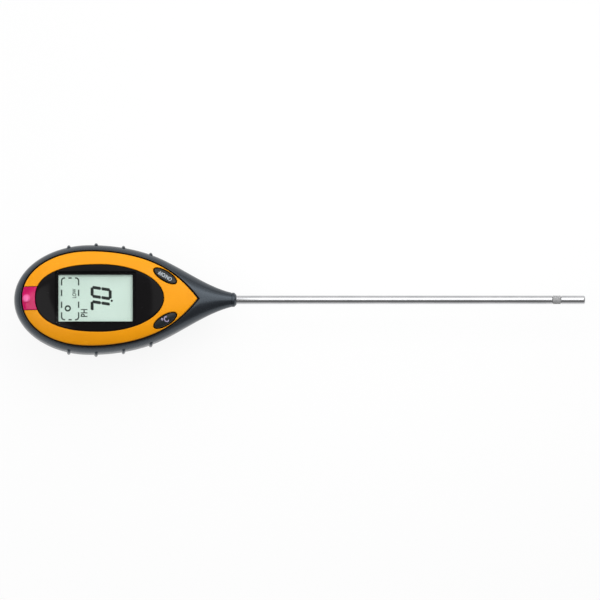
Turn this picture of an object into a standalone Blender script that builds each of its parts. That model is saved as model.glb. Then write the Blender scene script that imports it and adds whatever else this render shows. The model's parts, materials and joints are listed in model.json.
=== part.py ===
"""Soil thermometer probe: a hand-held meter with a display head, two keys and a long steel probe.

The head lies on its back with the display up: Z = 0 is the flat of its back, and the probe runs along +X.
A station is a distance along X from the widest section of the head. All sizes are in metres.
"""

import math

import bmesh
import bpy
from mathutils import Matrix, Vector

# Clearances
SEAT_GAP = 0.0003
KEY_GAP = 0.00035
SEAM_GAP = 0.0003
GROOVE_WIDTH = 0.00045
CUT_MARGIN = 0.001

# Outline of the head, seen from the front
ORIGIN_STATION = 0.038
HALF_WIDTH = 0.03085
TOP_REACH = 0.043
SHOULDER_REACH = 0.060
TAPER_START = 0.037
NOSE_REACH = 0.0797
NOSE_RADIUS = 0.00405
NOSE_SLOPE = -0.24

# Crown of the front and of the back
FRONT_HEIGHT = 0.014
FRONT_TAPER_START = 0.027
BACK_BULGE = 0.004
BACK_TAPER_LEAD = 0.0006
CROWN_POWER = 3.0
NOSE_POWER = 2.0
POWER_BLEND_START = 0.030

# Walls of the two shells
WALL = 0.002
DECK = 0.0016
CAVITY_END = 0.060
CORE_DEPTH_IN_WALL = 0.0012

# Grip ribs
RIB_COUNT = 4
RIB_FIRST = -0.0121
RIB_PITCH = 0.0154
RIB_WIDTH = 0.0022
RIB_HEIGHT = 0.0012
RIB_SINK = 0.0003
RIB_ROOT = 0.0012
RIB_STEPS = 6
RIB_BENDS = 4
FRONT_RIB_SWEEP = math.radians(16)
BACK_RIB_SWEEP = math.radians(52)

# Face plate
PLATE_THICKNESS = 0.002
SIDE_RIM = 0.00425
TOP_RIM = 0.0045
SHOULDER_RIM = 0.006
PLATE_TIP = 0.0603
PLATE_TIP_SLOPE = -1.3
PLATE_TOP_POWER = 2.1
TIP_SPREAD = 1.5

# Display lens
LENS_SIDE_BAND = 0.00775
LENS_TOP_BAND = 0.0075
LENS_CENTRE = 0.0053
LENS_END = 0.0412
LENS_TOP_POWER = 2.4

# Light window and the sensor below it
WINDOW_HALF_WIDTH = 0.0065
DOME_INSET = 0.0023
DOME_LENGTH = 0.0034
DOME_WIDTH = 0.005
DOME_HEIGHT = 0.0006
SENSOR_RADIUS = 0.0019

# Display
VIEW_STATION = 0.0028
VIEW_LENGTH = 0.0421
VIEW_WIDTH = 0.0261
GLASS_MARGIN = 0.0018
GLASS_THICKNESS = 0.0028
FRAME_WALL = 0.001
STRIP_WIDTH = 0.002

# Circuit board
BOARD_THICKNESS = 0.0016
BOARD_INSET = 0.004
BOARD_END = 0.050
CHIP_GAP = 0.002
CHIP_SIZE = 0.009
CHIP_HEIGHT = 0.0014

# Keys and their switches
KEY_STATION = 0.0421
KEY_BAND = 0.0041
KEY_OPENING_LONG = 0.0077
KEY_OPENING_SHORT = 0.0032
KEY_RING = 0.0007
KEY_PROUD = 0.0003
KEY_CROWN = 0.0003
KEY_EDGE = 0.0005
KEY_FLANGE = 0.0008
KEY_FLANGE_THICKNESS = 0.0007
KEY_STEM_RADIUS = 0.0015
SWITCH_SIZE = 0.0035
SWITCH_HEIGHT = 0.0015
PLUNGER_RADIUS = 0.0009
PLUNGER_PROUD = 0.0006
KEY_TRAVEL = 0.0005

# Battery and its connector
BATTERY_LENGTH = 0.0464
BATTERY_WIDTH = 0.0265
BATTERY_DEPTH = 0.0175
JACKET_WALL = 0.0006
TERMINAL_SPACING = 0.0127
TERMINAL_LENGTH = 0.0021
STUD_RADIUS = 0.0029
SOCKET_RADIUS = 0.0041
SOCKET_BORE = 0.0031
CONNECTOR_THICKNESS = 0.0038
CONNECTOR_WIDTH = 0.025
CONNECTOR_HEIGHT = 0.011
LEAD_RADIUS = 0.00055
LEAD_SPACE = 0.002
LEAD_SPACING = 0.006
LEAD_RISE = 0.0022

# Battery compartment and its door
COMPARTMENT_SIDE_GAP = 0.00075
COMPARTMENT_WALL = 0.0024
COMPARTMENT_ROOF = 0.00125
BATTERY_GAP = 0.0005
DOOR_SINK = 0.0003
DOOR_THICKNESS = 0.0017
DOOR_LEDGE = 0.001
DOOR_MARGIN = 0.0019
TAB_SIDE = 0.009
TAB_WIDTH = 0.006
TAB_THICKNESS = 0.0015
TAB_ROOT = 0.0016
TAB_REACH = 0.0032
TAB_SLOT_RELIEF = 0.0001
TONGUE_GAP = 0.0006
TONGUE_THICKNESS = 0.0012
TONGUE_WIDTH = 0.012
TONGUE_HEIGHT = 0.004
GRIP_COUNT = 3
GRIP_PITCH = 0.0024
GRIP_WIDTH = 0.0011
GRIP_LENGTH = 0.014
GRIP_DEPTH = 0.0006
GRIP_INSET = 0.004

# Case screws
SCREW_TOP_INSET = 0.021
SCREW_NOSE_STATION = 0.029
SCREW_RADIUS = 0.0014
SCREW_BORE = 0.00155
SCREW_HOLE = 0.0017
SCREW_HEAD_RADIUS = 0.0025
SCREW_HEAD_HEIGHT = 0.002
SCREW_HEAD_CHAMFER = 0.0006
SCREW_SEAT_Z = 0.012
SCREW_GRIP = 0.003
WELL_RADIUS = 0.0028
WELL_WALL = 0.0012
POST_RADIUS = 0.0032
BOSS_RADIUS = 0.0026

# Probe and the hub that holds it
PROBE_RADIUS = 0.0024
PROBE_WALL = 0.0006
PROBE_LENGTH = 0.197
TUBE_INSIDE = 0.002
RING_LENGTH = 0.0045
TIP_LENGTH = 0.0135
TIP_ROUND = 0.0009
TIP_BORE_DEPTH = 0.010
SPIGOT_LENGTH = 0.005
SPIGOT_GAP = 0.0001
INSULATOR_WALL = 0.0006
COLLAR_LENGTH = 0.0025
COLLAR_CHAMFER = 0.0012
COLLAR_END_RADIUS = 0.0028
HUB_SPIGOT_RADIUS = 0.0032
HUB_SPIGOT_LENGTH = 0.010
HUB_FLANGE_RADIUS = 0.0048
HUB_FLANGE_LENGTH = 0.0025
HUB_BORE_GAP = 0.0001
WIRE_RADIUS = 0.0004
WIRE_OFFSET = 0.00062
BEAD_RADIUS = 0.0007
BEAD_LENGTH = 0.003
BEAD_DROP = 0.00075
WIRE_LANDING = 0.0445
WIRE_BEND = 0.0505
WIRE_SPACING = 0.0016

# Facets
TOP_STEPS = 10
HULL_STEP = 0.0053
SKIN_ACROSS = 6
CAVITY_ACROSS = 5
CREST_ACROSS = 2
CREST_SHARE = 0.35
SLAB_STEPS = 20
SLAB_ACROSS = 5
WINDOW_STEPS = 4
DOME_STEPS = 5
ROUND_SIDES = 20
SMALL_SIDES = 12
END_TRIM = 0.06
FLAT_ENOUGH = math.radians(0.1)

# Heights that follow from the sizes above
COMPARTMENT_FLOOR = DOOR_SINK + DOOR_THICKNESS + SEAT_GAP
BATTERY_BOTTOM = DOOR_SINK + DOOR_THICKNESS + BATTERY_GAP
COMPARTMENT_TOP = BATTERY_BOTTOM + BATTERY_DEPTH + BATTERY_GAP
PARTING_Z = COMPARTMENT_TOP + COMPARTMENT_ROOF + SEAM_GAP
DECK_DROP = PLATE_THICKNESS + SEAT_GAP + DECK

# The flat of the back, and the stations that follow from it and from the sizes above
COMPARTMENT_HALF = BATTERY_WIDTH / 2 + COMPARTMENT_SIDE_GAP
DOOR_HALF = COMPARTMENT_HALF + DOOR_LEDGE
FLAT_SHARE = (1 - (PARTING_Z / (PARTING_Z + BACK_BULGE)) ** CROWN_POWER) ** (1 / CROWN_POWER)
FLAT_REACH = TOP_REACH * math.sqrt(FLAT_SHARE**2 - ((DOOR_HALF + SEAT_GAP) / HALF_WIDTH) ** 2)
DOOR_START = DOOR_MARGIN - FLAT_REACH
COMPARTMENT_START = DOOR_START + DOOR_LEDGE
BATTERY_START = COMPARTMENT_START + TONGUE_GAP + TONGUE_THICKNESS + BATTERY_GAP
BATTERY_END = BATTERY_START + BATTERY_LENGTH
CONNECTOR_START = BATTERY_END + SEAT_GAP
CONNECTOR_END = CONNECTOR_START + CONNECTOR_THICKNESS
COMPARTMENT_END = CONNECTOR_END + LEAD_SPACE
DOOR_END = COMPARTMENT_END + DOOR_LEDGE
HINGE_STATION = DOOR_END + SEAT_GAP
BACK_TAPER_START = HINGE_STATION - BACK_TAPER_LEAD
SCREW_STATIONS = (SCREW_TOP_INSET - TOP_REACH, SCREW_NOSE_STATION)
SCREW_SIDE = COMPARTMENT_HALF + COMPARTMENT_WALL + WELL_RADIUS
DOME_STATION = DOME_INSET - (TOP_REACH - TOP_RIM)
COLLAR_START = NOSE_REACH + SEAT_GAP
COLLAR_END = COLLAR_START + COLLAR_LENGTH
HUB_FLANGE_END = NOSE_REACH - HUB_SPIGOT_LENGTH
HUB_FLANGE_START = HUB_FLANGE_END - HUB_FLANGE_LENGTH
PROBE_END = COLLAR_END + PROBE_LENGTH
TIP_START = PROBE_END - TIP_LENGTH
RING_START = TIP_START - SEAT_GAP - RING_LENGTH
TUBE_END = RING_START - SEAT_GAP
TUBE_START = CAVITY_END - TUBE_INSIDE
TUBE_BORE = PROBE_RADIUS - PROBE_WALL


# Curves of the head

def x_at(station):
    return station - ORIGIN_STATION


def rectangle(start, end, low, high):
    return [(start, low), (end, low), (end, high), (start, high)]


def hermite(t, length, start, start_slope, end, end_slope):
    """A cubic that leaves start and reaches end with the given slopes, t running from 0 to 1."""
    leave = (2 * t**3 - 3 * t**2 + 1) * start + (t**3 - 2 * t**2 + t) * length * start_slope
    arrive = (3 * t**2 - 2 * t**3) * end + (t**3 - t**2) * length * end_slope
    return leave + arrive


def quarter(distance, reach, half, power=2.0):
    """Half-width of a rounded end, a distance away from its widest section."""
    return half * max(0.0, 1 - abs(distance / reach) ** power) ** (1 / power)


def quarter_slope(distance, reach, half):
    return -(half**2) * distance / (reach**2 * quarter(distance, reach, half))


def taper(station, begin, start, start_slope):
    """A size that runs from start at the station begin down to the nose."""
    length = NOSE_REACH - begin
    return hermite((station - begin) / length, length, start, start_slope, NOSE_RADIUS, NOSE_SLOPE)


def half_width(station, inset=0.0):
    """Half-width of the head at a station, with the outline moved in by inset."""
    if station < 0:
        return quarter(station, TOP_REACH - inset, HALF_WIDTH - inset)
    if station <= TAPER_START:
        return quarter(station, SHOULDER_REACH, HALF_WIDTH) - inset
    start = quarter(TAPER_START, SHOULDER_REACH, HALF_WIDTH)
    slope = quarter_slope(TAPER_START, SHOULDER_REACH, HALF_WIDTH)
    return taper(station, TAPER_START, start, slope) - inset


def front_height(station):
    if station <= FRONT_TAPER_START:
        return FRONT_HEIGHT
    return taper(station, FRONT_TAPER_START, FRONT_HEIGHT, 0.0)


def back_depth(station):
    deepest = PARTING_Z + BACK_BULGE
    if station <= BACK_TAPER_START:
        return deepest
    return taper(station, BACK_TAPER_START, deepest, 0.0)


def crown_power(station):
    """How square the cross-section is: a full crown over the head, a circle at the nose."""
    t = (station - POWER_BLEND_START) / (NOSE_REACH - POWER_BLEND_START)
    t = min(max(t, 0.0), 1.0)
    return CROWN_POWER + (NOSE_POWER - CROWN_POWER) * t * t * (3 - 2 * t)


def crown(station, y, height, inset=0.0):
    """Height of a crowned surface over the parting plane, falling to nothing at the outline."""
    if station < 0:
        radius = math.hypot(station / (TOP_REACH - inset), y / (HALF_WIDTH - inset))
    else:
        radius = abs(y) / half_width(station, inset)
    power = crown_power(station)
    return height * max(0.0, 1 - radius**power) ** (1 / power)


def front_z(station, y):
    return PARTING_Z + crown(station, y, front_height(station))


def plate_underside(station, y):
    return front_z(station, y) - PLATE_THICKNESS


def deck_z(station, y):
    """Top of the deck, on which the face plate and the lens lie."""
    return plate_underside(station, y) - SEAT_GAP


def ceiling_z(station, y):
    """Underside of the deck."""
    return PARTING_Z + crown(station, y, front_height(station) - DECK_DROP, WALL)


def back_z(station, y, inset=0.0):
    return PARTING_Z - crown(station, y, back_depth(station) - inset, inset)


def no_flat(station):
    return 0.0


def flat_half(station, level=0.0, inset=0.0):
    """Half-width at a station of the part of the back that is cut off flat at a level."""
    depth = back_depth(station) - inset
    cut = PARTING_Z - level
    if depth <= cut:
        return 0.0
    power = crown_power(station)
    share = (1 - (cut / depth) ** power) ** (1 / power)
    if station < 0:
        along = station / (TOP_REACH - inset)
        return (HALF_WIDTH - inset) * math.sqrt(max(0.0, share**2 - along**2))
    return half_width(station, inset) * share


def plate_outline(grow=0.0):
    """Start, end and half-width of the face plate, with its edge moved out by grow."""
    reach = TOP_REACH - TOP_RIM
    half = HALF_WIDTH - SIDE_RIM
    shoulder = SHOULDER_REACH - SHOULDER_RIM
    joint = quarter(TAPER_START, shoulder, half)
    joint_slope = quarter_slope(TAPER_START, shoulder, half)
    length = PLATE_TIP - TAPER_START
    behind = 1 + grow / reach
    ahead = 1 + TIP_SPREAD * grow / PLATE_TIP
    wide = 1 + grow / half

    def width(station):
        if station < 0:
            return wide * quarter(station / behind, reach, half, PLATE_TOP_POWER)
        place = station / ahead
        if place <= TAPER_START:
            return wide * quarter(place, shoulder, half)
        t = (place - TAPER_START) / length
        return wide * hermite(t, length, joint, joint_slope, 0.0, PLATE_TIP_SLOPE)

    return -reach * behind, PLATE_TIP * ahead, width


def lens_half_width():
    return HALF_WIDTH - SIDE_RIM - LENS_SIDE_BAND


def lens_top_reach():
    return LENS_CENTRE + TOP_REACH - TOP_RIM - LENS_TOP_BAND


def lens_outline(grow=0.0):
    """Start, end and half-width of the display lens, with its edge moved out by grow."""
    half = lens_half_width() + grow
    behind = lens_top_reach() + grow
    ahead = LENS_END - LENS_CENTRE + grow

    def width(station):
        if station < LENS_CENTRE:
            return quarter(station - LENS_CENTRE, behind, half, LENS_TOP_POWER)
        return quarter(station - LENS_CENTRE, ahead, half)

    return LENS_CENTRE - behind, LENS_CENTRE + ahead, width


def key_side():
    """Distance of the keys from the middle line, a band away from the edge of the face plate."""
    width = plate_outline()[2]
    return width(KEY_STATION) - KEY_BAND


def key_tilt():
    """Tilt of the keys, which lie along the edge of the face plate beside them."""
    width = plate_outline()[2]
    reach = KEY_OPENING_LONG
    return math.atan((width(KEY_STATION - reach) - width(KEY_STATION + reach)) / (2 * reach))


def switch_outline(side):
    """Corners of a switch, which stands square to its key."""
    half = SWITCH_SIZE / 2
    turn = Matrix.Rotation(-side * KEY_TILT, 2)
    corners = [turn @ Vector(corner) for corner in rectangle(-half, half, -half, half)]
    return [(KEY_STATION + c.x, side * KEY_SIDE + c.y) for c in corners]


def board_top():
    """Height of the board that leaves room for a switch, its key's flange and the key's travel."""
    ceiling = min(ceiling_z(s, y) for s, y in switch_outline(1))
    return ceiling - KEY_FLANGE_THICKNESS - KEY_TRAVEL - SWITCH_HEIGHT - 3 * SEAT_GAP


# The display stack: the glass lies close under the lens, the board as high as the keys allow
KEY_SIDE = key_side()
KEY_TILT = key_tilt()
GLASS_HALF_LENGTH = VIEW_LENGTH / 2 + GLASS_MARGIN
GLASS_HALF_WIDTH = VIEW_WIDTH / 2 + GLASS_MARGIN
FRAME_HALF_LENGTH = GLASS_HALF_LENGTH + SEAT_GAP + FRAME_WALL
FRAME_HALF_WIDTH = GLASS_HALF_WIDTH + SEAT_GAP + FRAME_WALL
GLASS_TOP = min(
    plate_underside(VIEW_STATION + end * GLASS_HALF_LENGTH, GLASS_HALF_WIDTH) for end in (-1, 1)
) - SEAT_GAP
FRAME_TOP = min(
    ceiling_z(VIEW_STATION + end * FRAME_HALF_LENGTH, FRAME_HALF_WIDTH) for end in (-1, 1)
) - 2 * SEAT_GAP
GLASS_BOTTOM = GLASS_TOP - GLASS_THICKNESS
BOARD_TOP = board_top()
BOARD_BOTTOM = BOARD_TOP - BOARD_THICKNESS
CHIP_STATION = VIEW_STATION + FRAME_HALF_LENGTH + CHIP_GAP + CHIP_SIZE / 2
SWITCH_TOP = BOARD_TOP + SEAT_GAP + SWITCH_HEIGHT
PLUNGER_TOP = SWITCH_TOP + PLUNGER_PROUD


# Solids

def solid(name, bodies, looped=False):
    """Skin each body, a row of rings with equally many points, into a closed surface."""
    shape = bmesh.new()
    for rings in bodies:
        rows = [[shape.verts.new(point) for point in ring] for ring in rings]
        pairs = list(zip(rows, rows[1:]))
        if looped:
            pairs.append((rows[-1], rows[0]))
        else:
            shape.faces.new(rows[0])
            shape.faces.new(rows[-1])
        for low, high in pairs:
            for k in range(len(low)):
                shape.faces.new((low[k - 1], low[k], high[k], high[k - 1]))
    bmesh.ops.recalc_face_normals(shape, faces=shape.faces[:])
    bmesh.ops.connect_verts_nonplanar(shape, angle_limit=FLAT_ENOUGH, faces=shape.faces[:])
    mesh = bpy.data.meshes.new(name)
    shape.to_mesh(mesh)
    shape.free()
    obj = bpy.data.objects.new(name, mesh)
    bpy.context.collection.objects.link(obj)
    return obj


def circle(radius, sides=ROUND_SIDES):
    turns = [2 * math.pi * k / sides for k in range(sides)]
    return [(radius * math.cos(turn), radius * math.sin(turn)) for turn in turns]


def ellipse(long_half, short_half, tilt, station, side, sides=ROUND_SIDES):
    """Points of a tilted ellipse as stations and sides."""
    turn = Matrix.Rotation(tilt, 2)
    points = [turn @ Vector((long_half * c, short_half * s)) for c, s in circle(1.0, sides)]
    return [(station + p.x, side + p.y) for p in points]


def upright(outline, bottom, top):
    """Rings of a prism that stands on an outline of stations and sides."""
    return [[(x_at(s), y, z) for s, y in outline] for z in (bottom, top)]


def box(start, end, low, high, bottom, top):
    return upright(rectangle(start, end, low, high), bottom, top)


def turned_up(station, side, profile, sides=ROUND_SIDES):
    """Rings of a piece turned about an upright axis, from pairs of radius and height."""
    return [[(x_at(station) + a, side + b, z) for a, b in circle(r, sides)] for r, z in profile]


def turned_along(profile, side=0.0, height=None, sides=ROUND_SIDES):
    """Rings of a piece turned about an axis along X, from pairs of station and radius."""
    middle = PARTING_Z if height is None else height
    return [[(x_at(s), side + a, middle + b) for a, b in circle(r, sides)] for s, r in profile]


def hull(name, surface, flat, base, end, inset, across):
    """One half of the head's volume, from a level near the parting plane out to a crowned surface."""
    reach = TOP_REACH - inset
    turns = [END_TRIM + (math.pi / 2 - END_TRIM) * k / TOP_STEPS for k in range(TOP_STEPS)]
    stations = [-reach * math.cos(turn) for turn in turns]
    steps = round(end / HULL_STEP)
    stations += [end * k / steps for k in range(steps + 1)]
    rings = []
    for station in stations:
        width = half_width(station, inset)
        crest = max(flat(station), CREST_SHARE * width)
        power = crown_power(station)
        sides = [crest * k / CREST_ACROSS for k in range(CREST_ACROSS)]
        sides += [width - (width - crest) * (1 - k / across) ** power for k in range(across)]
        ring = [(x_at(station), -width, base)]
        ring += [(x_at(station), -y, surface(station, y)) for y in reversed(sides[1:])]
        ring += [(x_at(station), y, surface(station, y)) for y in sides]
        ring += [(x_at(station), width, base)]
        rings.append(ring)
    return solid(name, [rings])


def rounded_stations(start, end):
    """Stations between two rounded ends of an outline, closer together towards both."""
    turns = [END_TRIM + (math.pi - 2 * END_TRIM) * k / SLAB_STEPS for k in range(SLAB_STEPS + 1)]
    return [start + (end - start) * (1 - math.cos(turn)) / 2 for turn in turns]


def flat_sheet(name, outline, bottom, top):
    """A prism that stands on an outline that mirrors across the middle line."""
    start, end, width = outline
    edge = [(station, width(station)) for station in rounded_stations(start, end)]
    mirrored = [(station, -y) for station, y in reversed(edge)]
    return solid(name, [upright(edge + mirrored, bottom, top)])


def slab(name, outline, top, bottom):
    """A sheet inside an outline, between a top and a bottom surface."""
    start, end, width = outline
    rings = []
    for station in rounded_stations(start, end):
        spread = range(-SLAB_ACROSS, SLAB_ACROSS + 1)
        sides = [width(station) * math.sin(math.pi / 2 * j / SLAB_ACROSS) for j in spread]
        upper = [(x_at(station), y, top(station, y)) for y in sides]
        lower = [(x_at(station), y, bottom(station, y)) for y in reversed(sides)]
        rings.append(upper + lower)
    return solid(name, [rings])


def smooth_route(points, steps=3):
    """Points along a smooth curve through the route, with its knots spaced by distance."""
    route = [Vector(p) for p in points]
    route = [2 * route[0] - route[1]] + route + [2 * route[-1] - route[-2]]
    found = []
    for p0, p1, p2, p3 in zip(route, route[1:], route[2:], route[3:]):
        t1 = (p1 - p0).length ** 0.5
        t2 = t1 + (p2 - p1).length ** 0.5
        t3 = t2 + (p3 - p2).length ** 0.5
        for k in range(steps):
            t = t1 + (t2 - t1) * k / steps
            a1 = p0.lerp(p1, t / t1)
            a2 = p1.lerp(p2, (t - t1) / (t2 - t1))
            a3 = p2.lerp(p3, (t - t2) / (t3 - t2))
            b1 = a1.lerp(a2, t / t2)
            b2 = a2.lerp(a3, (t - t1) / (t3 - t1))
            found.append(b1.lerp(b2, (t - t1) / (t2 - t1)))
    return found + [route[-2]]


def cord(name, route, radius):
    """A round wire along a smooth route."""
    curve = bpy.data.curves.new(name, "CURVE")
    curve.dimensions = "3D"
    curve.bevel_depth = radius
    curve.bevel_resolution = 2
    curve.use_fill_caps = True
    points = smooth_route(route)
    spline = curve.splines.new("POLY")
    spline.points.add(len(points) - 1)
    for knot, point in zip(spline.points, points):
        knot.co = (*point, 1.0)
    obj = bpy.data.objects.new(name, curve)
    bpy.context.collection.objects.link(obj)
    return obj


def boolean(target, tools, operation):
    for tool in tools:
        tool.hide_render = True
        tool.display_type = "WIRE"
        modifier = target.modifiers.new(tool.name, "BOOLEAN")
        modifier.operation = operation
        modifier.solver = "EXACT"
        modifier.object = tool


def cut(target, *tools):
    boolean(target, tools, "DIFFERENCE")


def join(target, *tools):
    boolean(target, tools, "UNION")


def keep(target, *tools):
    boolean(target, tools, "INTERSECT")


# Materials and bodies

def linear(level):
    share = level / 255
    return share / 12.92 if share <= 0.04045 else ((share + 0.055) / 1.055) ** 2.4


def material(name, colour, roughness, metallic=0.0):
    made = bpy.data.materials.new(name)
    made.use_nodes = True
    shader = made.node_tree.nodes["Principled BSDF"]
    shader.inputs["Base Color"].default_value = (*[linear(level) for level in colour], 1.0)
    shader.inputs["Roughness"].default_value = roughness
    shader.inputs["Metallic"].default_value = metallic
    return made


def body(name, place=(0.0, 0.0, 0.0), parent=None):
    empty = bpy.data.objects.new(name, None)
    empty.location = place
    empty.parent = parent
    bpy.context.collection.objects.link(empty)
    return empty


def give(obj, look, carrier):
    """Hand a piece its material and hang it on its body, with its origin at the body's."""
    obj.data.materials.append(look)
    obj.data.transform(Matrix.Translation(-carrier.location))
    obj.parent = carrier
    if obj.type == "MESH":
        obj.data.shade_smooth()
        obj.data.set_sharp_from_angle(angle=math.radians(32))


# Pieces of the head

def screw_places():
    return [(station, side * SCREW_SIDE) for station in SCREW_STATIONS for side in (-1, 1)]


def rib_ring(foot, out, proud):
    """Section of a rib: two points sunk into the skin and a rounded back that stands proud of it."""
    half = Vector((RIB_WIDTH / 2, 0.0, 0.0))
    ring = [foot - out * RIB_ROOT + half]
    for k in range(RIB_BENDS + 1):
        bend = math.pi * k / RIB_BENDS
        rise = (proud + RIB_SINK) * math.sin(bend) - RIB_SINK
        ring.append(foot + half * math.cos(bend) + out * rise)
    return ring + [foot - out * RIB_ROOT - half]


def rib_body(station, side, surface, base, sweep):
    """A rounded band down one side of a shell, from the seam to where it fades into the skin."""
    lift = math.copysign(1.0, surface(station, 0.0) - PARTING_Z)
    power = crown_power(station)
    height = abs(surface(station, 0.0) - PARTING_Z)
    width = half_width(station)
    rings = []
    for k in range(RIB_STEPS + 1):
        turn = sweep * k / RIB_STEPS
        across = math.cos(turn) ** (2 / power)
        up = math.sin(turn) ** (2 / power)
        out = Vector((0.0, side * across ** (power - 1) / width, lift * up ** (power - 1) / height))
        foot = Vector((x_at(station), side * across * width, PARTING_Z + lift * up * height))
        proud = RIB_HEIGHT * math.cos(math.pi / 2 * k / RIB_STEPS) ** 0.5
        if k == 0:
            foot.z = base - 2 * lift * CUT_MARGIN
        if k == RIB_STEPS:
            proud = -RIB_ROOT / 2
        rings.append(rib_ring(foot, out.normalized(), proud))
    return rings


def ribs(name, surface, base, sweep):
    stations = [RIB_FIRST + k * RIB_PITCH for k in range(RIB_COUNT)]
    bodies = [rib_body(s, side, surface, base, sweep) for s in stations for side in (-1, 1)]
    return solid(name, bodies)


def hub_room():
    """The space that the hub and the probe tube take up between the shells."""
    profile = [
        (CAVITY_END - CUT_MARGIN, PROBE_RADIUS + SEAT_GAP),
        (HUB_FLANGE_START - SEAT_GAP, PROBE_RADIUS + SEAT_GAP),
        (HUB_FLANGE_START - SEAT_GAP, HUB_FLANGE_RADIUS + SEAT_GAP),
        (HUB_FLANGE_END + SEAT_GAP, HUB_FLANGE_RADIUS + SEAT_GAP),
        (HUB_FLANGE_END + SEAT_GAP, HUB_SPIGOT_RADIUS + SEAT_GAP),
        (NOSE_REACH + CUT_MARGIN, HUB_SPIGOT_RADIUS + SEAT_GAP),
    ]
    return solid("hub_room", [turned_along(profile)])


def key_ellipse(side, grow):
    long_half = KEY_OPENING_LONG + grow
    short_half = KEY_OPENING_SHORT + grow
    return ellipse(long_half, short_half, -side * KEY_TILT, KEY_STATION, side * KEY_SIDE)


def deck_openings():
    """Openings for the display, the two keys and the light sensor, right through the deck."""
    low = BOARD_TOP + CUT_MARGIN
    high = PARTING_Z + FRONT_HEIGHT + CUT_MARGIN
    start = VIEW_STATION - GLASS_HALF_LENGTH - SEAT_GAP
    end = VIEW_STATION + GLASS_HALF_LENGTH + SEAT_GAP
    half = GLASS_HALF_WIDTH + SEAT_GAP
    bodies = [box(start, end, -half, half, low, high)]
    for side in (-1, 1):
        bodies.append(upright(key_ellipse(side, KEY_GAP - KEY_RING), low, high))
    sensor = circle(SENSOR_RADIUS + SEAT_GAP, SMALL_SIDES)
    bodies.append(upright([(DOME_STATION + a, b) for a, b in sensor], low, high))
    return solid("deck_openings", bodies)


def front_bosses():
    """Bosses that hang from the deck and press the board on the posts of the rear shell."""
    bodies = []
    for station, side in screw_places():
        outline = [(station + a, side + b) for a, b in circle(BOSS_RADIUS, SMALL_SIDES)]
        foot = [(x_at(s), y, BOARD_TOP + SEAT_GAP) for s, y in outline]
        head = [(x_at(s), y, (ceiling_z(s, y) + deck_z(s, y)) / 2) for s, y in outline]
        bodies.append([foot, head])
    return solid("front_bosses", bodies)


def front_bores():
    top = BOARD_TOP + SCREW_GRIP + SEAT_GAP
    profile = [(SCREW_BORE, BOARD_TOP - CUT_MARGIN), (SCREW_BORE, top)]
    return solid("front_bores", [turned_up(s, y, profile, SMALL_SIDES) for s, y in screw_places()])


def level_block(name, bottom, top):
    """A block as wide as the head, which takes away all that lies between two levels."""
    side = HALF_WIDTH + RIB_HEIGHT + CUT_MARGIN
    start = -TOP_REACH - CUT_MARGIN
    end = NOSE_REACH + CUT_MARGIN
    return solid(name, [box(start, end, -side, side, bottom, top)])


def front_shell(room):
    base = PARTING_Z + SEAM_GAP / 2
    low = base - CUT_MARGIN
    shell = hull("front_shell", front_z, no_flat, low, NOSE_REACH, 0.0, SKIN_ACROSS)
    low -= CUT_MARGIN
    cavity = hull("front_cavity", ceiling_z, no_flat, low, CAVITY_END, WALL, CAVITY_ACROSS)

    def over_front(station, y):
        return front_z(station, y) + PLATE_THICKNESS

    recess = slab("plate_recess", plate_outline(GROOVE_WIDTH), over_front, deck_z)
    cut(shell, cavity, recess)
    join(shell, front_bosses())
    cut(shell, deck_openings(), front_bores(), room)
    join(shell, ribs("front_ribs", front_z, base, FRONT_RIB_SWEEP))
    cut(shell, level_block("front_parting", low - CUT_MARGIN, base))
    return shell


def plate_openings():
    """Openings for the lens, the light window and the two keys, right through the face plate."""
    low = PARTING_Z
    high = PARTING_Z + FRONT_HEIGHT + CUT_MARGIN
    lens_hole = flat_sheet("lens_hole", lens_outline(SEAT_GAP), low, high)
    outside = -TOP_REACH
    notch_half = WINDOW_HALF_WIDTH + SEAT_GAP
    bodies = [box(outside, LENS_CENTRE, -notch_half, notch_half, low, high)]
    for side in (-1, 1):
        bodies.append(upright(key_ellipse(side, 0.0), low, high))
    return lens_hole, solid("plate_openings", bodies)


def face_plate():
    plate = slab("face_plate", plate_outline(), front_z, plate_underside)
    cut(plate, *plate_openings())
    return plate


def display_lens():
    return slab("display_lens", lens_outline(), front_z, plate_underside)


def window_dome():
    """A low dome on the light window, rooted halfway down its thickness."""
    rings = []
    for k in range(DOME_STEPS):
        turn = math.pi / 2 * k / DOME_STEPS
        share = math.cos(turn)
        outline = ellipse(DOME_LENGTH / 2 * share, DOME_WIDTH / 2 * share, 0.0, DOME_STATION, 0.0)
        rise = DOME_HEIGHT * math.sin(turn) if k else -PLATE_THICKNESS / 2
        rings.append([(x_at(s), y, front_z(s, y) + rise) for s, y in outline])
    return solid("window_dome", [rings])


def light_window():
    """A piece that fills the plate's notch, from the plate's outline to the lens."""
    plate_reach = TOP_REACH - TOP_RIM
    plate_half = HALF_WIDTH - SIDE_RIM
    rings = []
    for k in range(-WINDOW_STEPS, WINDOW_STEPS + 1):
        y = WINDOW_HALF_WIDTH * k / WINDOW_STEPS
        outer = -quarter(y, plate_half, plate_reach, PLATE_TOP_POWER)
        inner = LENS_CENTRE - quarter(y, lens_half_width(), lens_top_reach(), LENS_TOP_POWER)
        inner -= SEAT_GAP
        stations = [outer + (inner - outer) * j / WINDOW_STEPS for j in range(WINDOW_STEPS + 1)]
        upper = [(x_at(s), y, front_z(s, y)) for s in stations]
        lower = [(x_at(s), y, plate_underside(s, y)) for s in reversed(stations)]
        rings.append(upper + lower)
    window = solid("light_window", [rings])
    join(window, window_dome())
    return window


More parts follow.
